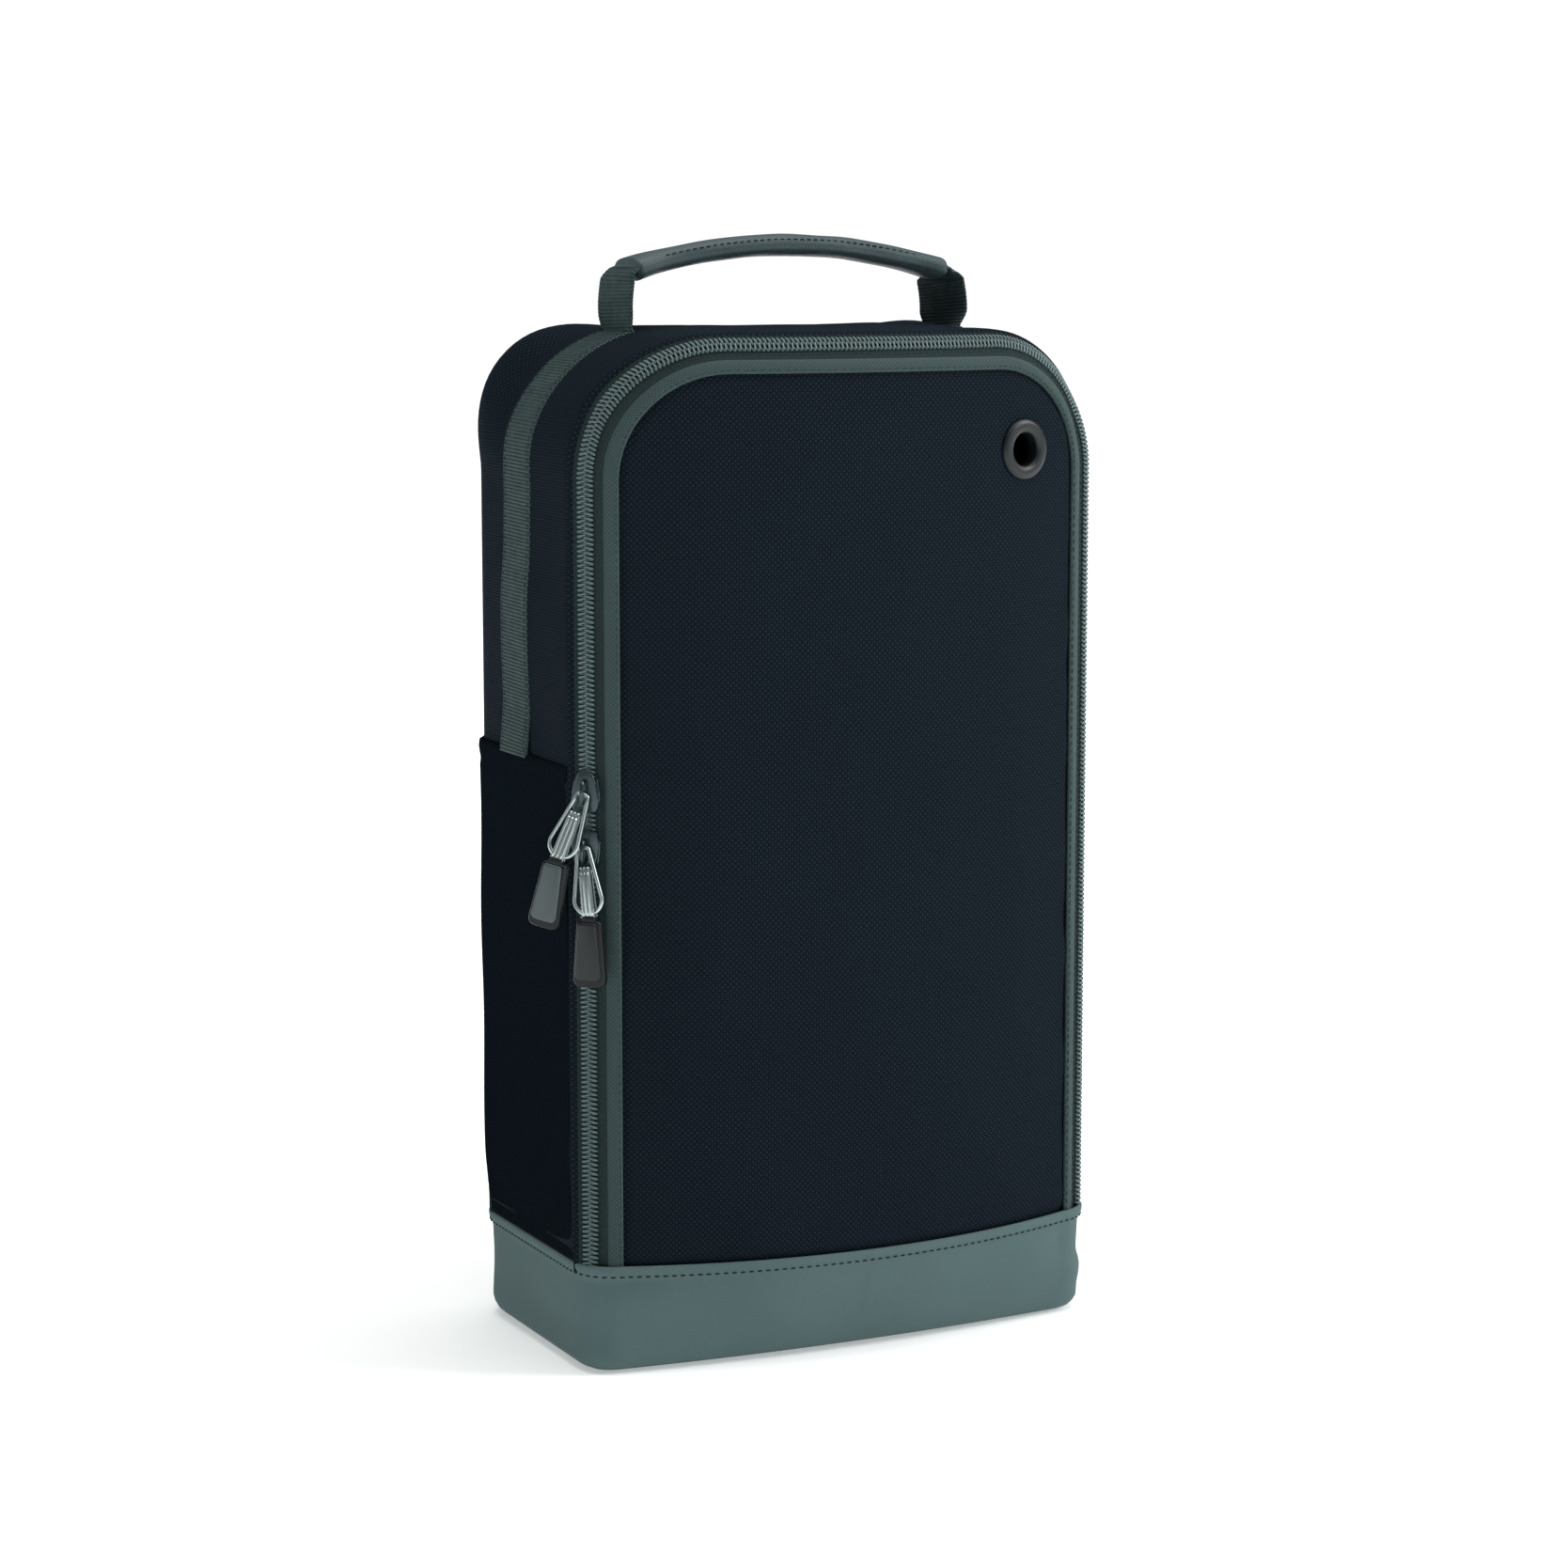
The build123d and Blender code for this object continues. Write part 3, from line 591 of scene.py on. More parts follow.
def build_back():
    """Back panel, sewn to the gusset round its edge."""
    half = SIDE_X - BACK_EDGE_R + 0.5
    x = half * np.sin(np.linspace(-math.pi / 2, math.pi / 2, 90))
    radius = CORNER_R - BACK_EDGE_R + 0.5
    over = np.clip(np.abs(x) - CORNER_X, 0, radius)
    top = CORNER_Z + np.sqrt(radius**2 - over**2)
    share = np.linspace(0, 1, 120)[:, None]
    z = LOW_Z + (top - LOW_Z)[None, :] * share
    xx = np.broadcast_to(x[None, :], z.shape)
    edge = np.minimum(half - np.abs(xx), top[None, :] - z)
    dome = ease(edge / 26) * (1.1 + 0.7 * ripple(xx, z, 95.0, 11)) - 0.9 * (1 - ease(edge / 3.5))
    dome = dome * ease((z - BAND_TOP) / 24) - 1.0 * (1 - ease((z - BAND_TOP - 0.5) / 5))
    points = np.stack([xx, BACK_Y + dome, z], -1)
    panel = grid("back_panel_fabric", points, xx, z, black_polyester, flip=True)
    settle(thicken(panel, FABRIC), "bag_body", ["back_panel"])
    row = along(OUTLINE_LENGTH - 20, SEAM_PITCH, 10)
    rx, rz, nx, nz = outline(row)
    line = np.stack([rx - BACK_SEAM_INSET * nx, np.full(len(row), BACK_Y + 0.45), rz - BACK_SEAM_INSET * nz], -1)
    settle(stitches("back_stitches", line, (0, 1, 0), thread_dark), "bag_body")


def plan_loop(crown, count):
    """Closed horizontal section: points (x, y), outward normals and distance along, from the middle of the front."""
    radius = (FRONT_X**2 + crown**2) / (2 * crown)
    turn_x = FRONT_X - 5.0
    front = np.linspace(0, turn_x, 60)
    half = [(x, FRONT_Y - crown + radius - math.sqrt(radius**2 - x**2)) for x in front]
    start = np.array(half[-1])
    corner = np.array([SIDE_X - 0.6, FRONT_Y + 0.6])
    end = np.array([SIDE_X, FRONT_Y + CHAMFER + 6.0])
    for t in np.linspace(0, 1, 24)[1:]:
        half.append(tuple((1 - t) ** 2 * start + 2 * t * (1 - t) * corner + t**2 * end))
    half += [(SIDE_X, y) for y in np.linspace(end[1], WALL_END_Y, 30)[1:]]
    for a in np.linspace(0, math.pi / 2, 20)[1:]:
        half.append((SIDE_X - BACK_EDGE_R + BACK_EDGE_R * math.cos(a), WALL_END_Y + BACK_EDGE_R * math.sin(a)))
    half += [(x, BACK_Y) for x in np.linspace(SIDE_X - BACK_EDGE_R, 0, 30)[1:]]
    half = np.array(half)
    full = np.concatenate([half, half[-2:0:-1] * (-1, 1)])
    run = lengths(np.concatenate([full, full[:1]]))
    s = np.linspace(0, run[-1], count, endpoint=False)
    ring = np.concatenate([full, full[:1]])
    points = np.stack([np.interp(s, run, ring[:, k]) for k in range(2)], 1)
    tangent = unit(np.roll(points, -1, 0) - np.roll(points, 1, 0))
    return points, np.stack([tangent[:, 1], -tangent[:, 0]], 1), s


def band_crown(z):
    """The front's bow at a height on the band."""
    return BASE_CROWN + (CROWN - BASE_CROWN) * np.clip(z / (BAND_TOP - 5), 0, 1) ** 0.85


def band_fold(s, length, z):
    """Soft folds in the band, strongest by the front corners."""
    corner = np.minimum(np.abs(s - 100), np.abs(s - (length - 100)))
    near = np.exp(-((corner / 34.0) ** 2))
    middle = np.sin(math.pi * np.clip(z / BAND_TOP, 0, 1))
    fold = 0.45 * ripple(s, z, 60.0, 21) + near * 1.1 * ripple(s, z * 1.6, 38.0, 22) - 0.2 * near
    return middle * np.clip(fold, -0.8, 1.3)


def build_band():
    """Grey band round the foot, rounded under and with its top edge turned and stitched."""
    count = 460
    profile = [(9.0, 0.15), (7.2, 0.25), (5.2, 0.6), (3.2, 1.5), (1.6, 3.0), (0.5, 5.0), (0.0, 7.5)]
    profile += [(0.0, z) for z in np.linspace(10, BAND_TOP - 4.5, 12)]
    profile += [(-0.9, BAND_TOP - 3.0), (-1.35, BAND_TOP - 1.4), (-1.4, BAND_TOP - 0.4), (-1.1, BAND_TOP + 0.3)]
    profile += [(-0.3, BAND_TOP + 0.5), (0.5, BAND_TOP + 0.1), (1.0, BAND_TOP - 1.0), (1.2, BAND_TOP - 9.0)]
    rows = []
    for inset, z in profile:
        points, normals, s = plan_loop(float(band_crown(z)), count)
        length = s[-1] + s[1]
        push = band_fold(s, length, z) * (1.0 if inset == 0 else 0.0)
        rows.append(np.column_stack([points - normals * (inset - push)[:, None], np.full(count, z)]))
    points = np.stack(rows)
    up = lengths(points[:, 0])
    around = np.append(s, length)
    band = grid("base_band_fabric", points, around[None, :], up[:, None], grey_polyester, closed=True)
    settle(band, "bag_body", ["base_band"])
    inner = [(1.2, BAND_TOP - 9.0), (1.6, 20.0), (1.8, 6.0), (4.0, 2.6)]
    rows = []
    for inset, z in inner:
        points, normals, s = plan_loop(float(band_crown(z)), count)
        rows.append(np.column_stack([points - normals * inset, np.full(count, z)]))
    points = np.stack(rows)
    inside = grid("base_band_lining", points, around[None, :], lengths(points[:, 0])[:, None], lining, closed=True,
                  flip=True)
    settle(inside, "bag_body")
    z = BAND_TOP - 3.4
    points, normals, s = plan_loop(float(band_crown(z)), 196)
    line = np.column_stack([points + normals * 0.82, np.full(len(points), z)])
    facing = np.column_stack([normals, np.zeros(len(points))])
    settle(stitches("band_stitches", line, facing, thread_dark, share=0.6, radius=0.3), "bag_body")


def build_base():
    """Bottom panel under the bag and the stiffening board that lies on it."""
    count = 240
    shape, normals, _ = plan_loop(BASE_CROWN, count)
    rows = [np.column_stack([shape - normals * 8.0, np.full(count, 0.4)])]
    inner = shape - normals * 9.0
    for share in np.linspace(1, 0.02, 26):
        ring = inner * share
        sag = 0.35 + 0.25 * ripple(ring[:, 0], ring[:, 1], 50.0, 31) ** 2 * ease((1 - share) * 6)
        rows.append(np.column_stack([ring, sag]))
    points = np.stack(rows)
    flat = np.concatenate([points[..., :2], points[:, :1, :2]], 1)
    bottom = grid("bottom_panel_fabric", points, flat[..., 0], flat[..., 1], black_fine, closed=True, flip=True)
    settle(thicken(bottom, FABRIC), "bag_body", ["bottom_panel"])
    board = shape - normals * 5.5
    low = box_mm("base_board")[0][2]
    high = box_mm("base_board")[1][2]
    item = pillow("base_board_card", board, bevelled(low, high, 0.6), np.eye(4), board_card)
    settle(item, "bag_body", ["base_board"])


# The pocket's front seam, how far it wraps round the rear edge, and where its hem is stitched below the mouth
POCKET_FRONT_Y = -33.5
POCKET_STRAIGHT = WALL_END_Y - POCKET_FRONT_Y
POCKET_WIDTH = POCKET_STRAIGHT + BACK_EDGE_R * 1.35
HEM_STITCH_Z = POCKET_TOP - 7.0


def pocket_wall(w, z, lift):
    """A point on the left wall: w runs back from the zip and round the rear edge, and lift is how far out it is."""
    angle = np.clip((w - POCKET_STRAIGHT) / BACK_EDGE_R, 0, None)
    x = -(SIDE_X - BACK_EDGE_R) - (BACK_EDGE_R + lift) * np.cos(angle)
    y = POCKET_FRONT_Y + np.minimum(w, POCKET_STRAIGHT) + (BACK_EDGE_R + lift) * np.sin(angle)
    x, y, z = np.broadcast_arrays(x, y, z)
    return np.stack([x, y, z], -1)


def pocket_bulge(w, z):
    """How far the pocket's wall stands out, most at its mouth and towards the zip."""
    hold = np.sin(math.pi * np.clip(w / POCKET_WIDTH, 0, 1) ** 0.8) ** 0.7
    mouth = 0.5 + 0.5 * ease((z - 60) / 150)
    return hold * (1.7 * mouth + 0.35 * ripple(w, z, 60.0, 41))


def build_pocket():
    """Flat side pocket on the left, sewn along the zip side, the rear edge and the band, with a hemmed mouth."""
    w = np.linspace(0, POCKET_WIDTH, 64)[None, :]
    hem = [(POCKET_TOP - 8.5, -1.4), (POCKET_TOP - 3.0, -1.5), (POCKET_TOP - 0.8, -1.3), (POCKET_TOP, -0.55)]
    hem += [(POCKET_TOP - 0.5, 0.1), (POCKET_TOP - 2.5, 0.25)]
    down = np.linspace(POCKET_TOP - 4.5, LOW_Z, 72)
    z = np.concatenate([[h for h, _ in hem], down])[:, None]
    fold = np.concatenate([[f for _, f in hem], np.zeros(len(down))])[:, None]
    sewn = ease((z - BAND_TOP) / 26)
    lift = 0.3 + 0.8 * sewn + pocket_bulge(w, z) * sewn + fold
    crease = -0.35 * np.exp(-(((z - HEM_STITCH_Z) / 1.1) ** 2))
    foot = 1.3 * (1 - ease((z - BAND_TOP + 0.5) / 3.0))
    points = pocket_wall(w, z, lift + crease - foot)
    run = lengths(points[:, 32])
    pocket = grid("side_pocket_fabric", points, w, run[:, None], black_fine, flip=True)
    settle(thicken(pocket, 0.7), "bag_body", ["side_pocket", "pocket_hem"])
    row = np.linspace(2, POCKET_WIDTH - 2, 34)
    seat = 0.9 + pocket_bulge(row, HEM_STITCH_Z)
    line = pocket_wall(row, HEM_STITCH_Z, seat)
    angle = np.clip((row - POCKET_STRAIGHT) / BACK_EDGE_R, 0, None)
    facing = np.stack([-np.cos(angle), np.sin(angle), 0 * angle], -1)
    settle(stitches("pocket_stitches", line, facing, thread_dark, radius=0.22), "bag_body")


def strap_y(z):
    """The strap's middle, which leans forward as it climbs the side."""
    lean = (STRAP_LOW_Y - FOOT_Y) / (TOP_Z - box_mm("strap_left")[0][2])
    return np.minimum(FOOT_Y + lean * (TOP_Z - z), STRAP_LOW_Y)


FOOT_X = -box_mm("handle_riser_left")[0][0] - 0.7
FOOT_Y = (box_mm("handle_riser_left")[0][1] + box_mm("handle_riser_left")[1][1]) / 2
FOOT_ANGLE = math.acos((FOOT_X - CORNER_X) / CORNER_R)
FOOT_S = LEG + CORNER_R * FOOT_ANGLE
STRAP_WIDTH = 25.0
STRAP_THICKNESS = 1.4
STRAP_LOW_Y = 12.5


def build_straps():
    """The two side straps, sewn up the walls and round the top corners to the handle's feet."""
    for side, name, low in ((1, "strap_left", POCKET_TOP - 1.0), (-1, "strap_right", BAND_TOP + 0.2)):
        near = along(FOOT_S + 1.5 - (low - LOW_Z), 2.0, low - LOW_Z)
        s = near if side > 0 else OUTLINE_LENGTH - near
        x, z, nx, nz = outline(s)
        y = strap_y(z)
        out = 0.85 + np.maximum.reduce([gusset_puff(s, y + step) for step in (-11, 0, 11)])
        out = out + (1.5 * (1 - ease((near - near[0]) / 22)) if side > 0 else 0)
        centres = np.stack([x + nx * out, y, z + nz * out], -1)
        normals = np.stack([nx, 0 * nx, nz], -1)
        strap = webbing(name + "_webbing", centres, normals, STRAP_WIDTH, STRAP_THICKNESS, grey_webbing)
        settle(strap, "bag_body", [name])
        for edge, word in ((-1, "front"), (1, "rear")):
            fine = along(near[-1] - near[0] - 6, 2.6, near[0] + 3)
            s2 = fine if side > 0 else OUTLINE_LENGTH - fine
            x2, z2, nx2, nz2 = outline(s2)
            lift = np.interp(fine, near, out) + STRAP_THICKNESS / 2 + 0.25
            line = np.stack([x2 + nx2 * lift, strap_y(z2) + edge * (STRAP_WIDTH / 2 - 2.0), z2 + nz2 * lift], -1)
            facing = np.stack([nx2, 0 * nx2, nz2], -1)
            settle(stitches(f"{name}_stitches_{word}", line, facing, thread_grey, radius=0.2), "bag_body")


# ---------------------------------------------------------------- zip and flap


def coil(name, half, material):
    """One side of the zip's coil: a nylon wire wound in flat loops; half is -1 at the rear and 1 at the front."""
    start = TUCK - 1.0
    turns = int((OUTLINE_LENGTH - 2 * start) / COIL_PITCH)
    phase = np.linspace(0, 2 * math.pi * turns, turns * 11)
    offset = 0 if half < 0 else math.pi
    s = start + COIL_PITCH * phase / (2 * math.pi)
    reach = 0.5 - 0.5 * np.cos(phase + offset)
    t = COIL_T + half * (2.75 - 3.0 * reach)
    n = 0.75 + 0.5 * np.sin(phase + offset) + 0.22 * ease((reach - 0.75) / 0.25)
    path = strip(s, t, n)
    ahead = strip(s + 0.5, t, n)
    return tube(name, path, COIL_WIRE, unit(ahead - path), material, sides=6)


def build_zip():
    """Both zip tapes and coils: the rear ones stay with the bag and the front ones open with the flap."""
    s = along(OUTLINE_LENGTH, 2.5)
    rear = [(-9.6, -2.6), (-8.9, -1.6), (-8.0, -0.5), (-6.6, -0.15), (-5.2, 0.0), (-4.0, 0.1), (-2.2, 0.05)]
    front = [(-1.1, 0.05), (0.6, 0.1), (1.8, 0.0), (3.0, -0.1), (4.6, -0.35), (5.9, -0.8), (7.0, -1.6)]
    for name, section, body, nodes in (("zip_tape_rear_cloth", rear, "bag_body", ["zip_tape_rear"]),
                                       ("zip_tape_front_cloth", front, "flap", ["zip_tape_front"])):
        columns = [strip(s, t, n) for t, n in section]
        points = np.stack(columns, 1)
        item = grid(name, points, lengths(points[0])[None, :], s[:, None], zip_twill)
        settle(thicken(item, TAPE), body, nodes)
    settle(coil("zip_coil_rear_wire", -1, coil_nylon), "bag_body", ["zip_coil_rear"])
    settle(coil("zip_coil_front_wire", 1, coil_nylon), "flap", ["zip_coil_front"])
    for name, t, body in (("zip_stitches_rear", -6.1, "bag_body"), ("zip_stitches_front", 2.6, "flap")):
        row = along(OUTLINE_LENGTH - 2 * TUCK - 2, 2.6, TUCK + 1)
        line = strip(row, t, 0.1)
        facing = strip(row, t, 1.1) - line
        settle(stitches(name, line, facing, thread_grey, radius=0.17), body)


def build_binding():
    """Grey binding folded over the flap's edge, from the zip tape round on to the front panel."""
    s = along(OUTLINE_LENGTH, 2.5)
    wave = 0.12 * ripple(s, 0 * s, 40.0, 51)
    section = [(9.2, 4.0), (8.6, 2.6), (8.3, 1.9), (8.25, 1.3), (8.5, 0.75), (9.0, 0.15), (9.7, -0.3 + wave)]
    section += [(10.5, -0.58 + wave), (11.3, -0.66 + wave), (12.1, -0.55 + wave), (12.8, -0.2), (13.1, 0.35)]
    section += [(13.0, 0.95), (12.4, 1.5), (11.0, 1.9)]
    item = edge_piece("front_binding_fold", s, section, binding_tape)
    settle(item, "flap", ["front_binding"])
    row = along(OUTLINE_LENGTH - 2 * TUCK - 2, 3.0, TUCK + 1)
    line = skin(row, 11.9, -0.62)
    facing = line - skin(row, 11.9, 0.4)
    settle(stitches("binding_stitches", line, facing, thread_grey, radius=0.2), "flap")


EYELET_X = 65.0
EYELET_Z = float((box_mm("eyelet")[0][2] + box_mm("eyelet")[1][2]) / 2)
EYELET_R = float((box_mm("eyelet")[1][2] - box_mm("eyelet")[0][2]) / 2)
EYELET_BORE = 6.0


def panel_puff(x, z):
    """How far the front panel stands out from its bowed face."""
    over_x = np.clip(np.abs(x) - CORNER_X, 0, None)
    over_z = np.clip(z - CORNER_Z, 0, None)
    to_side = np.where(over_z > 0, CORNER_R - np.hypot(over_x, over_z), SIDE_X - np.abs(x))
    to_edge = np.minimum(to_side, TOP_Z - z) - PANEL_INSET
    to_band = z - BAND_TOP
    hold = ease(to_edge / 34) * ease((to_band + 6) / 40)
    near_edge = 1 - ease(to_edge / 3.0)
    eyelet = np.exp(-(((x - EYELET_X) ** 2 + (z - EYELET_Z) ** 2) / 15.0**2))
    swell = 1.6 + 0.75 * ripple(x, z, 130.0, 61) + 0.22 * ripple(x, z, 42.0, 62)
    pucker = 0.3 * ripple(x * 0.6, z, 24.0, 63) * np.exp(-((to_edge / 14) ** 2))
    band_pull = 0.5 * ripple(x, 0 * x, 30.0, 64) * np.exp(-((to_band / 12) ** 2))
    tucked = 1 - ease((to_band + 0.5) / 4)
    puff = (hold * swell + pucker * ease(to_band / 10) + band_pull * ease(to_band / 8)) * (1 - 0.85 * eyelet)
    return puff - 1.0 * near_edge - 1.4 * tucked


def build_panel():
    """The bowed front panel, sewn into the binding above and into the band below."""
    half = SIDE_X - PANEL_INSET + 1.2
    x = half * np.sin(np.linspace(-1, 1, 150) * math.pi / 2 * 0.999)
    radius = CORNER_R - PANEL_INSET + 1.2
    over = np.clip(np.abs(x) - CORNER_X, 0, radius)
    top = CORNER_Z + np.sqrt(radius**2 - over**2)
    share = np.linspace(0, 1, 210)[:, None]
    z = LOW_Z + (top - LOW_Z)[None, :] * share
    xx = np.broadcast_to(x[None, :], z.shape)
    y = crown_y(xx) - panel_puff(xx, z)
    arc = FRONT_R * np.arcsin(xx / FRONT_R)
    panel = grid("front_panel_fabric", np.stack([xx, y, z], -1), arc, z, black_polyester)
    punch(panel)
    settle(thicken(panel, 1.1), "flap", ["front_panel"])


def punch(panel):
    """Opens the panel at the eyelet."""
    work = bmesh.new()
    work.from_mesh(panel.data)
    middle = Vector((EYELET_X * MM, 0, EYELET_Z * MM))
    gone = [f for f in work.faces
            if math.hypot(f.calc_center_median().x - middle.x, f.calc_center_median().z - middle.z) < 7.6 * MM]
    bmesh.ops.delete(work, geom=gone, context="FACES")
    work.to_mesh(panel.data)
    work.free()


def eyelet_place():
    """The eyelet's frame: on the front face, with its Z axis out of the panel."""
    angle = math.asin(EYELET_X / FRONT_R)
    out = Vector((math.sin(angle), -math.cos(angle), 0))
    up = Vector((0, 0, 1))
    side = up.cross(out)
    place = np.eye(4)
    place[:3, 0] = side
    place[:3, 1] = up
    place[:3, 2] = out
    place[:3, 3] = (EYELET_X, float(crown_y(EYELET_X)), EYELET_Z)
    return place


def build_eyelet():
    """Rolled eyelet in dark enamel, and the washer behind the panel."""
    place = eyelet_place()
    turn = np.linspace(0, math.pi, 14)
    mid = (EYELET_R + EYELET_BORE) / 2
    half = (EYELET_R - EYELET_BORE) / 2
    lip = [(mid + half * math.cos(a), 0.55 + 1.5 * math.sin(a) ** 0.8) for a in turn]
    barrel = [(EYELET_BORE, -0.6), (EYELET_BORE, -2.4), (EYELET_BORE + 0.2, -3.9), (EYELET_BORE + 0.9, -4.6)]
    barrel += [(EYELET_BORE + 1.0, -3.6), (EYELET_BORE + 0.9, -1.0), (EYELET_BORE + 1.6, 0.1), (EYELET_R - 0.4, 0.1)]
    settle(lathe("eyelet_ring", lip + barrel, place, enamel), "front_flap", ["eyelet"])
    outer = EYELET_R - 1.0
    washer = [(outer, -2.9), (outer - 0.3, -3.3), (outer - 1.5, -3.6), (EYELET_BORE + 1.3, -3.7)]
    washer += [(EYELET_BORE + 1.1, -3.3), (EYELET_BORE + 1.3, -2.9)]
    settle(lathe("eyelet_washer_ring", washer, place, gunmetal), "front_flap", ["eyelet_washer"])


# ---------------------------------------------------------------- sliders and pulls

RING_NECK = 2.0
RING_HALF = 5.2
RING_HEIGHT = 23.0
RING_WIRE = 0.68
TAB_TOP = -7.2
GRIP_LENGTH = 24.0
GRIP_TOP = 9.0
GRIP_BASE = 12.5
PIVOT_N = 4.9
PULLS = {
    "upper": {"nose": -1, "pivot": -1.0, "lean": -18.0, "tilt": 16.0, "grip_lean": 6.0, "face": satin_plastic},
    # The lower pull's face takes the darker copy of the grip plastic, as painted shade.
    "lower": {"nose": 1, "pivot": 1.0, "lean": 9.0, "tilt": 8.0, "grip_lean": -9.0, "face": shaded_grip_plastic},
}


def shift(x, y, z):
    """A move as a matrix."""
    place = np.eye(4)
    place[:3, 3] = (x, y, z)
    return place


def turn_x(degrees):
    """A turn about local X."""
    return np.array(Matrix.Rotation(math.radians(degrees), 4, "X"))


def turn_z(degrees):
    """A turn about local Z."""
    return np.array(Matrix.Rotation(math.radians(degrees), 4, "Z"))


def slider_place(z):
    """A slider's frame: X across the strip, Y up the zip and Z out of the strip."""
    place = np.eye(4)
    root = 1 / ROOT2
    place[:3, 0] = (root, -root, 0)
    place[:3, 1] = (0, 0, 1)
    place[:3, 2] = (-root, -root, 0)
    place[:3, 3] = (-SIDE_X + CHAMFER / 2 + COIL_T * root, FRONT_Y + CHAMFER / 2 - COIL_T * root, z)
    return place


def placed(points, place):
    """Local points in the frame's axes."""
    return np.asarray(points, float) @ place[:3, :3].T + place[:3, 3]


def build_slider(name, facts):
    """A slider with its two shaped plates, side flanges, neck and bow."""
    low, high = box_mm(f"{name}_slider_body")
    place = slider_place((low[2] + high[2]) / 2)
    nose = facts["nose"]
    top = [(-2.6, -7.4), (2.6, -7.4), (4.3, -2.5), (5.2, 3.0), (4.4, 6.8), (1.6, 7.4), (-1.6, 7.4), (-4.4, 6.8)]
    top += [(-5.2, 3.0), (-4.3, -2.5)]
    shape = round_polygon([(x, y * nose) for x, y in (top if nose > 0 else top[::-1])], 1.3)
    body = f"{name}_slider"
    plate = pillow(f"{name}_slider_top_plate", shape, bevelled(2.1, 3.4, 0.45), place, gunmetal)
    settle(plate, body, [f"{name}_slider_body"])
    under = pillow(f"{name}_slider_under_plate", shape * (0.6, 1.0), bevelled(-3.3, -2.1, 0.4), place, gunmetal)
    settle(under, body)
    for side, word in ((-1, "rear"), (1, "front")):
        rail = [(side * 4.0, -4.5 * nose), (side * 4.75, 0), (side * 4.85, 3.5 * nose)]
        path = placed([(x, y, 1.9) for x, y in rail], place)
        path = np.stack([np.interp(np.linspace(0, 2, 9), [0, 1, 2], path[:, k]) for k in range(3)], 1)
        flange = tube(f"{name}_slider_flange_{word}", path, 0.5, place[:3, 0], gunmetal, sides=8)
        settle(flange, body)
    neck = pillow(f"{name}_slider_neck", round_polygon([(-0.5, -2.2), (0.5, -2.2), (0.5, 2.2), (-0.5, 2.2)], 0.3),
                  [(0, -2.4), (0, 2.4)], place @ shift(0, nose * 4.5, 0), gunmetal)
    settle(neck, body)
    arch = np.linspace(0, math.pi, 21)
    path = [(0, 3.9 * math.cos(a), 3.0 + 3.5 * math.sin(a) ** 0.55) for a in arch]
    bow = tube(f"{name}_slider_bow", placed(path, place), 0.7, place[:3, 0], gunmetal, sides=12)
    settle(bow, body, [f"{name}_slider_bridge"])
    return place


def ring_path():
    """The wire ring's middle line: a drop with its small end up."""
    wide_y = RING_HALF - RING_HEIGHT
    arc = np.linspace(0, math.pi, 25)
    lower = [(-RING_HALF * math.cos(a), wide_y - RING_HALF * math.sin(a) * 0.999, 0) for a in arc]
    crown = [(RING_NECK * math.cos(a), 0.5 * math.sin(a), 0) for a in np.linspace(0, math.pi, 9)]
    right = [(RING_HALF + (RING_NECK - RING_HALF) * t, wide_y * (1 - t), 0) for t in np.linspace(0, 1, 10)[1:-1]]
    left = [(-x, y, z) for x, y, z in reversed(right)]
    return lower + right + crown + left


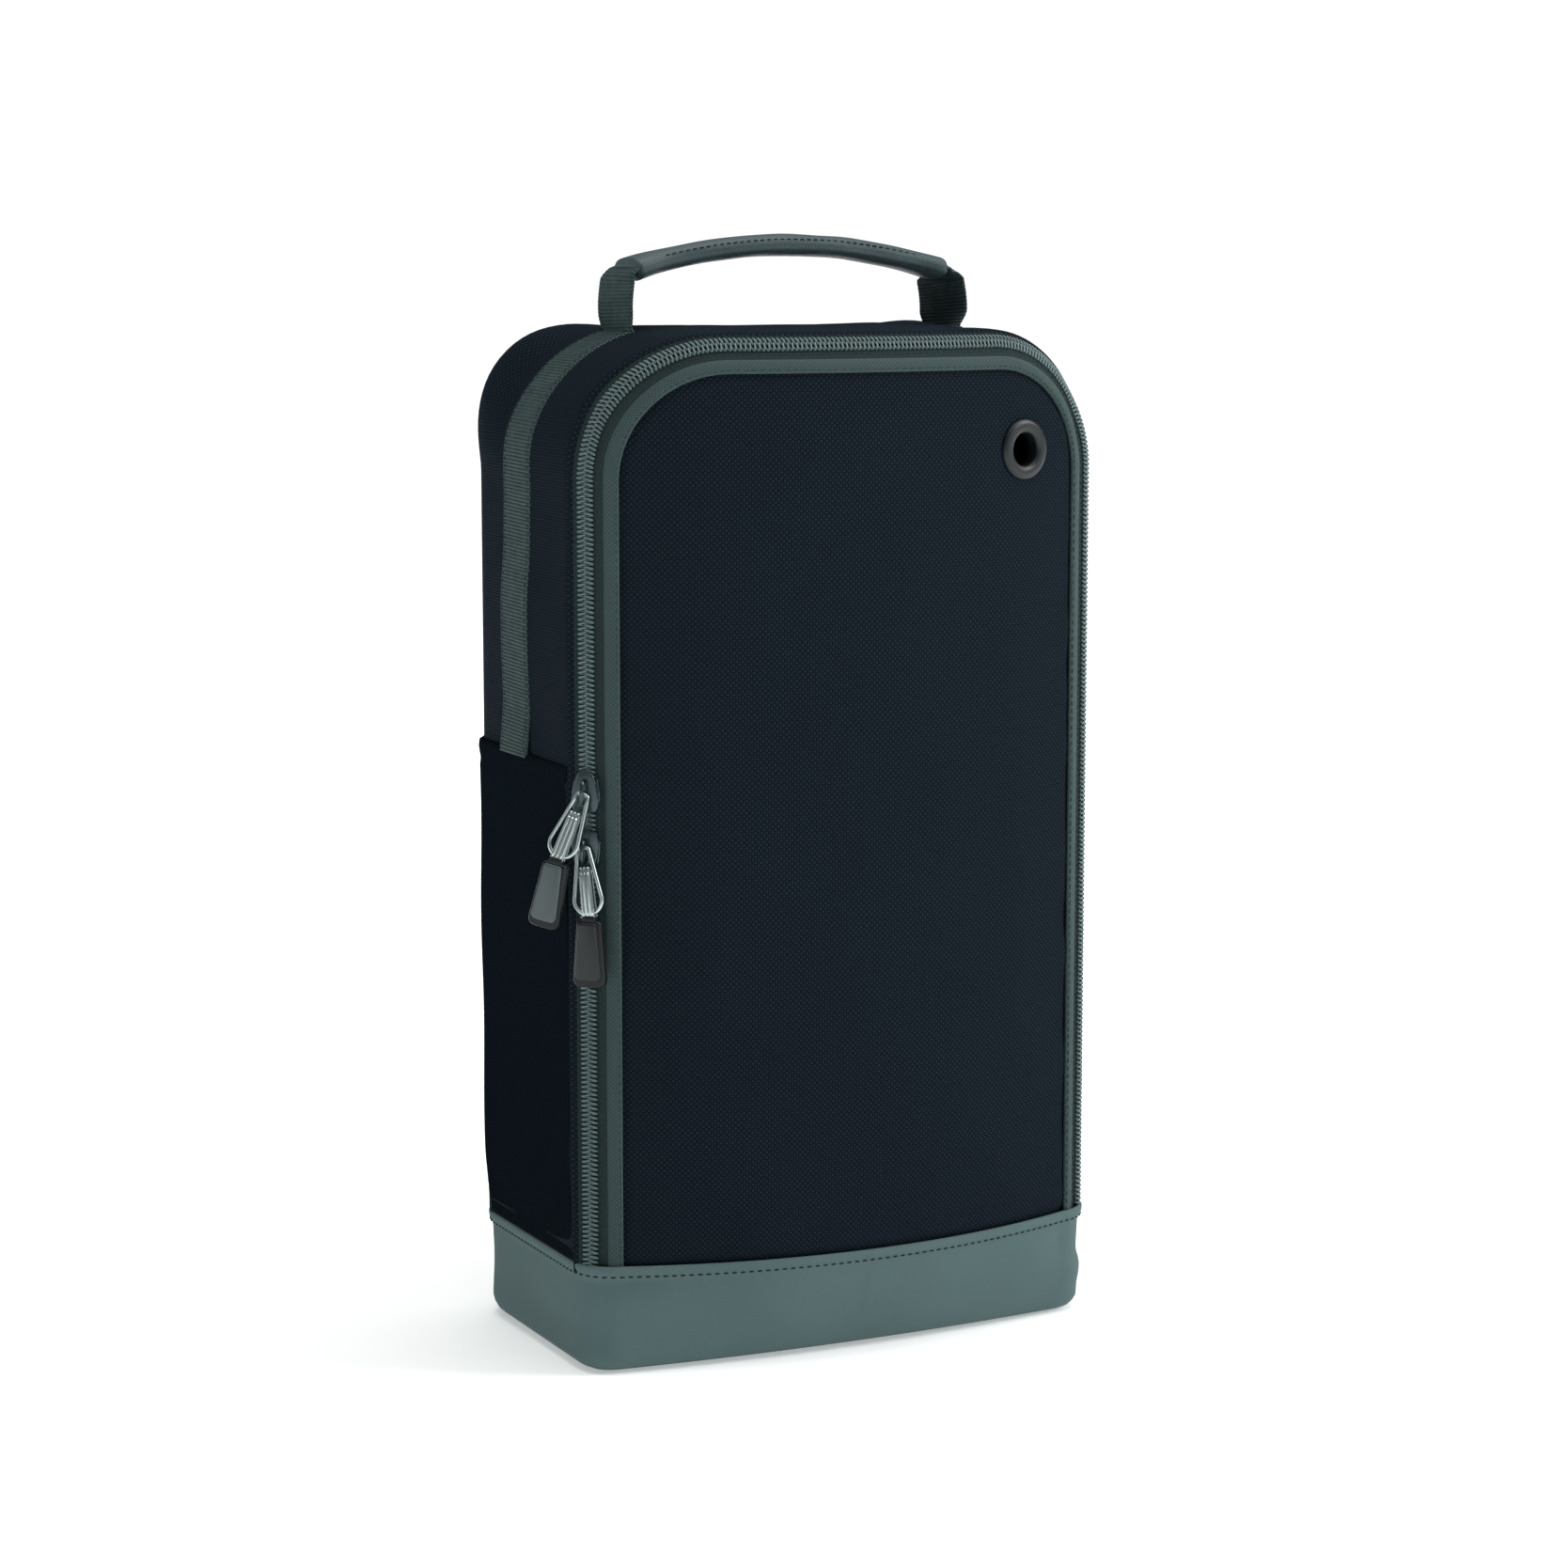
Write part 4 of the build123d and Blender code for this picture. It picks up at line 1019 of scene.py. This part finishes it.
def build_pull(name, facts, slider):
    """A pull: the wire ring on the bow, the folded metal tab in the ring and the moulded grip below."""
    place = slider @ shift(0, facts["pivot"], PIVOT_N) @ turn_z(facts["lean"]) @ turn_x(-facts["tilt"])
    body = f"{name}_pull"
    wire = tube(f"{name}_pull_ring_wire", placed(ring_path(), place), RING_WIRE, place[:3, 2], chrome, 10, closed=True)
    settle(wire, body, [f"{name}_pull_ring"])
    foot = -RING_HEIGHT - 1.6
    tab = round_polygon([(-2.5, foot), (2.5, foot), (2.1, TAB_TOP), (-2.1, TAB_TOP)], 0.9)
    for n, word in ((1.0, "outer"), (-1.0, "inner")):
        leaf = pillow(f"{name}_pull_tab_{word}", tab, bevelled(n - 0.3, n + 0.3, 0.2), place, chrome)
        settle(leaf, body, [f"{name}_pull_strap"] if n > 0 else ())
    for x, word in ((-1.55, "left"), (0, "middle"), (1.55, "right")):
        path = [(x * (1.0 if y < -12 else 0.85), y, 1.3) for y in np.linspace(foot + 1.0, -8.2, 12)]
        ridge = tube(f"{name}_pull_ridge_{word}", placed(path, place), 0.42, place[:3, 0], chrome, 8)
        settle(ridge, body)
    fold = [(0.0, -7.0 + 0.5 * math.cos(a), 1.1 * math.sin(a)) for a in np.linspace(-1.5, 1.5, 9)]
    for x in (-1.3, 0.0, 1.3):
        path = placed([(x, y, z) for _, y, z in fold], place)
        settle(tube(f"{name}_pull_fold_{int(10 * x + 20)}", path, 0.55, place[:3, 0], chrome, 8), body)
    grip = place @ shift(0, -RING_HEIGHT - 1.4, 0) @ turn_x(facts["tilt"]) @ turn_z(facts["grip_lean"])
    grip = grip @ shift(0, -0.5, 0)
    a, b = GRIP_TOP / 2, GRIP_BASE / 2
    shape = round_polygon([(-b, -GRIP_LENGTH), (b, -GRIP_LENGTH), (a, 0), (-a, 0)], (3.6, 3.6, 1.6, 1.6), 9)
    profile = [(1.3, -2.5), (0.9, -2.4), (0.4, -2.0), (0.05, -1.1), (0.0, -0.2), (0.0, 0.9), (0.15, 1.5)]
    profile += [(0.45, 1.95), (0.8, 2.05)]
    settle(pillow(f"{name}_pull_grip_body", shape, profile, grip, rubber), body, [f"{name}_pull_grip"])
    face = round_polygon([(-b + 1.0, -GRIP_LENGTH + 2.6), (b - 1.5, -GRIP_LENGTH + 2.6), (a - 1.3, -0.8),
                          (-a + 0.8, -0.8)], (2.6, 2.6, 1.2, 1.2), 8)
    raised = [(0.0, 1.7), (0.05, 2.15), (0.2, 2.4), (0.45, 2.55), (0.8, 2.62)]
    settle(pillow(f"{name}_pull_grip_face", face, raised, grip, facts["face"]), body)
    neck = round_polygon([(-2.6, -1.0), (2.6, -1.0), (2.4, 1.6), (-2.4, 1.6)], 0.7)
    settle(pillow(f"{name}_pull_grip_neck", neck, bevelled(-1.7, 1.7, 0.6), grip, rubber), body)


# ---------------------------------------------------------------- handle

# The uprights climb from RISER_LOW over RISER_RUN, turn over at BEND_R and run into the sleeve
RISER_LOW = 368.0
RISER_RUN = 21.0
PIVOT_Z = 389.0
SLEEVE_END = 63.2
BEND_R = 5.0
TWIST = {"left": math.radians(5), "right": math.radians(16)}
ARCH_HALF = 62.0
ARCH_TOP = 401.3
ARCH_END = 392.6


def handle_z(x):
    """Height of the handle's middle line."""
    rise = ARCH_TOP - ARCH_END
    radius = (ARCH_HALF**2 + rise**2) / (2 * rise)
    return ARCH_TOP - radius + np.sqrt(radius**2 - np.asarray(x, float) ** 2)


def build_sleeve():
    """The padded fabric sleeve sewn round the webbing, with its lap seam along the front and open ends."""
    x = np.concatenate([np.linspace(-SLEEVE_END, -SLEEVE_END + 2.5, 7)[:-1],
                        np.linspace(-SLEEVE_END + 2.5, SLEEVE_END - 2.5, 110),
                        np.linspace(SLEEVE_END - 2.5, SLEEVE_END, 7)[1:]])
    angle = np.linspace(0, 2 * math.pi, 44, endpoint=False)
    end = SLEEVE_END - np.abs(x)
    flare = np.exp(-((end / 9.0) ** 2))
    tuck = 1 - 0.32 * (1 - ease(end / 1.6))
    half_z = (3.75 + 0.35 * flare) * tuck
    half_y = (8.3 + 3.6 * flare) * (0.5 + 0.5 * tuck)
    slope = np.gradient(handle_z(x), x)
    down = np.stack([-slope, np.zeros(len(x)), np.ones(len(x))], 1)
    down = unit(down)
    lap = 0.55 * ease((angle - 3.35) / 0.1) * (1 - ease((angle - 4.9) / 0.25))
    pad = 1 + 0.028 * ripple(x[:, None] * 1.0, angle[None, :] * 8, 17.0, 71) + 0.02 * ripple(
        x[:, None], angle[None, :] * 3, 48.0, 72)
    cy = np.sign(np.cos(angle)) * np.abs(np.cos(angle)) ** 0.85
    cz = np.sign(np.sin(angle)) * np.abs(np.sin(angle)) ** 0.9
    across = (half_y[:, None] * pad + lap[None, :]) * cy[None, :]
    high = (half_z[:, None] * pad + lap[None, :]) * cz[None, :]
    centre = np.stack([x, np.full(len(x), FOOT_Y), handle_z(x)], 1)
    points = centre[:, None] + down[:, None] * high[..., None]
    points[..., 1] += across
    around = lengths(np.concatenate([points[60], points[60][:1]]))
    sleeve = grid("handle_sleeve_padded", points, around[None, :], x[:, None] + SLEEVE_END, grip_fabric,
                  closed=True, caps=True)
    settle(sleeve, "handle_grip", ["handle_sleeve"])
    row = np.linspace(-SLEEVE_END + 2.5, SLEEVE_END - 2.5, 46)
    facing = (0, -0.85, 0.5)
    line = np.stack([row, np.full(len(row), FOOT_Y - 7.75), handle_z(row) + 1.9], 1)
    settle(stitches("handle_seam_stitches", line, facing, thread_dark, radius=0.25), "handle_grip")


def build_handle_webbing():
    """The upright webbing at each end, in pieces that meet where the handle's joints let it turn."""
    turn_at = PIVOT_Z - 1.2
    for side, word in ((-1, "left"), (1, "right")):
        body = f"handle_{word}"
        x0 = side * FOOT_X
        sway = 1.6 if side > 0 else 0.64
        climb = np.linspace(RISER_LOW + 2, turn_at, 40)
        share = (climb - RISER_LOW) / RISER_RUN
        low = np.array([(x0 - side * 2.2, FOOT_Y, 367.6), (x0 - side * 0.7, FOOT_Y, 368.4)])
        rise = np.stack([x0 + 1.1 * np.sin(math.pi * share) * side, FOOT_Y + sway * share, climb], 1)
        arc = np.linspace(0, math.pi / 2 - 0.18, 14)[1:]
        bend = np.stack([rise[-1, 0] - side * BEND_R * (1 - np.cos(arc)), np.full(13, rise[-1, 1]),
                         turn_at + BEND_R * np.sin(arc)], 1)
        inner = [(side * x, FOOT_Y + sway / 2, float(handle_z(x)) + 0.1) for x in (57.5, 54.0)]
        path = np.concatenate([low, rise, bend, inner])
        tangent = unit(np.gradient(path, axis=0))
        turned = TWIST[word] * ease((path[:, 2] - RISER_LOW - 1) / 8) * (1 - ease((path[:, 2] - turn_at) / 4))
        across = np.stack([-np.sin(turned), np.cos(turned), 0 * turned], 1)
        normal = np.cross(tangent, across) * -side
        width = np.full(len(path), STRAP_WIDTH)
        width[-3:] = (22.5, 14.0, 11.0)
        first = 2 + int(np.searchsorted(climb, PIVOT_Z - 9.0))
        last = 2 + len(rise) - 1
        for name, start, stop in (("lower", 0, first), ("upper", first, last), ("bend", last, len(path) - 1)):
            part = slice(start, stop + 1)
            item = webbing(f"handle_webbing_{word}_{name}", path[part], normal[part], width[part], STRAP_THICKNESS,
                           grey_webbing, start=float(lengths(path)[start]), ends=(tangent[start], tangent[stop]))
            if name == "lower":
                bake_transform(item)
                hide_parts(f"handle_riser_{word}")
            elif name == "upper" and side < 0:
                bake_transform(item)
            else:
                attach(item, body if name == "upper" else "handle_grip")
    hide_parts("handle_core")


# ---------------------------------------------------------------- inside


def build_inside():
    """Seam tapes and the divider between the shoes."""
    x, z, nx, nz = outline(along(OUTLINE_LENGTH, 4.0))
    columns = []
    for inset, y in ((22.5, -2.4), (23.2, -3.0), (26.0, -3.2), (28.6, -3.1), (29.2, -2.4)):
        columns.append(np.stack([x - inset * nx, np.full(len(x), BACK_Y + y), z - inset * nz], -1))
    points = np.stack(columns, 1)
    tape = grid("back_seam_binding", points, lengths(points[0])[None, :], lengths(points[:, 0])[:, None], lining)
    settle(thicken(tape, TAPE), "bag_body", ["back_seam_tape"])
    rows = []
    for inset, height in ((2.4, BAND_TOP - 6.5), (3.1, BAND_TOP - 6.0), (3.3, BAND_TOP - 3.0), (3.1, BAND_TOP - 0.6),
                          (2.4, BAND_TOP - 0.2)):
        ring, normals, s = plan_loop(float(band_crown(height)), 240)
        rows.append(np.column_stack([ring - normals * inset, np.full(len(ring), height)]))
    points = np.stack(rows)
    tape = grid("base_seam_binding", points, np.append(s, s[-1] + s[1])[None, :], lengths(points[:, 0])[:, None],
                lining, closed=True, flip=True)
    settle(thicken(tape, TAPE), "bag_body", ["base_seam_tape"])
    low, high = box_mm("inner_divider")
    corner = CORNER_R
    y = np.linspace(low[1], high[1], 46)
    over = np.clip(low[1] + corner - y, 0, corner)
    top = high[2] - corner + np.sqrt(corner**2 - over**2)
    share = np.linspace(0, 1, 120)[:, None]
    zz = low[2] + (top - low[2])[None, :] * share
    yy = np.broadcast_to(y[None, :], zz.shape)
    hold = ease((high[1] - yy) / 40) * ease((zz - low[2]) / 60)
    xx = 0.5 + hold * (1.0 * ripple(yy, zz, 110.0, 81) + 0.3 * ripple(yy, zz, 35.0, 82))
    sheet = grid("inner_divider_cloth", np.stack([xx, yy, zz], -1), yy, zz, lining)
    settle(thicken(sheet, 1.0), "bag_body", ["inner_divider"])


# ---------------------------------------------------------------- stage


def area_light(name, place, target, size, power):
    """A soft rectangular lamp aimed at target."""
    data = bpy.data.lights.new(name, "AREA")
    data.shape = "RECTANGLE"
    data.size, data.size_y = size
    data.energy = power
    item = bpy.data.objects.new(name, data)
    item.location = place
    item.rotation_euler = (Vector(target) - Vector(place)).to_track_quat("-Z", "Y").to_euler()
    bpy.context.scene.collection.objects.link(item)


def build_stage():
    """Pale floor that glows, least near the bag (painted light, with painted shade round the bag), white surroundings,
    soft lamps and the camera.
    """
    scene = bpy.context.scene
    n = Nodes("floor_paper")
    tone = n.mix(n.math("MULTIPLY", n.noise(2.0, 2.0), 0.05), (0.9, 0.92, 0.915, 1), (0.86, 0.88, 0.875, 1))
    # Painted light: the floor glows, weakly near the bag and more strongly further off, which leaves painted shade on
    # the floor round the bag.
    away = n.add("VectorMath", {0: n.add("TexCoord").outputs["Object"]}, operation="LENGTH").outputs["Value"]
    painted_floor_glow = n.add("MapRange", {0: away, 1: 0.2, 2: 1.3, 3: 0.36, 4: 1.05}).outputs[0]
    n.put(n.shader.inputs["Emission Strength"], painted_floor_glow)
    paper = n.finish(tone, 0.9, Emission_Color=(0.98, 1.0, 0.995, 1), Specular_IOR_Level=0.0)
    ring = np.linspace(0, 2 * math.pi, 65)[:-1]
    disc = [(9000 * math.cos(a), 9000 * math.sin(a), 0.0) for a in ring]
    make("floor", np.array(disc), [list(range(64))], paper, smooth=False)
    world = bpy.data.worlds.new("studio")
    scene.world = world
    world.use_nodes = True
    tree = world.node_tree
    background = tree.nodes["Background"]
    seen = tree.nodes.new("ShaderNodeLightPath")
    level = tree.nodes.new("ShaderNodeMath")
    level.operation = "MULTIPLY_ADD"
    level.inputs[1].default_value = 0.92
    level.inputs[2].default_value = 0.14
    tree.links.new(seen.outputs["Is Camera Ray"], level.inputs[0])
    tree.links.new(level.outputs[0], background.inputs["Strength"])
    background.inputs["Color"].default_value = (1, 1, 1, 1)
    middle = (0, 0, 0.2)
    area_light("overhead", (0.2, 0.1, 2.2), middle, (2.4, 2.4), 50)
    area_light("right_front", (2.0, -1.05, 1.5), middle, (0.8, 1.2), 44)
    area_light("left_side", (-1.9, 0.25, 0.9), middle, (0.6, 1.2), 3)
    camera = bpy.data.objects.new("camera", bpy.data.cameras.new("camera"))
    camera.data.sensor_width = 36.0
    camera.data.lens = 87.3
    place = Vector((-0.6155, -1.258, 0.4045))
    camera.location = place
    camera.rotation_euler = (Vector((-0.0096, -0.0118, 0.2046)) - place).to_track_quat("-Z", "Y").to_euler()
    camera.data.clip_end = 50
    scene.collection.objects.link(camera)
    scene.camera = camera
    scene.view_settings.view_transform = "Standard"


build_stage()
build_gusset()
build_back()
build_band()
build_base()
build_pocket()
build_straps()
build_zip()
build_binding()
build_panel()
build_eyelet()
for pull_name, pull_facts in PULLS.items():
    build_pull(pull_name, pull_facts, build_slider(pull_name, pull_facts))
build_sleeve()
build_handle_webbing()
build_inside()
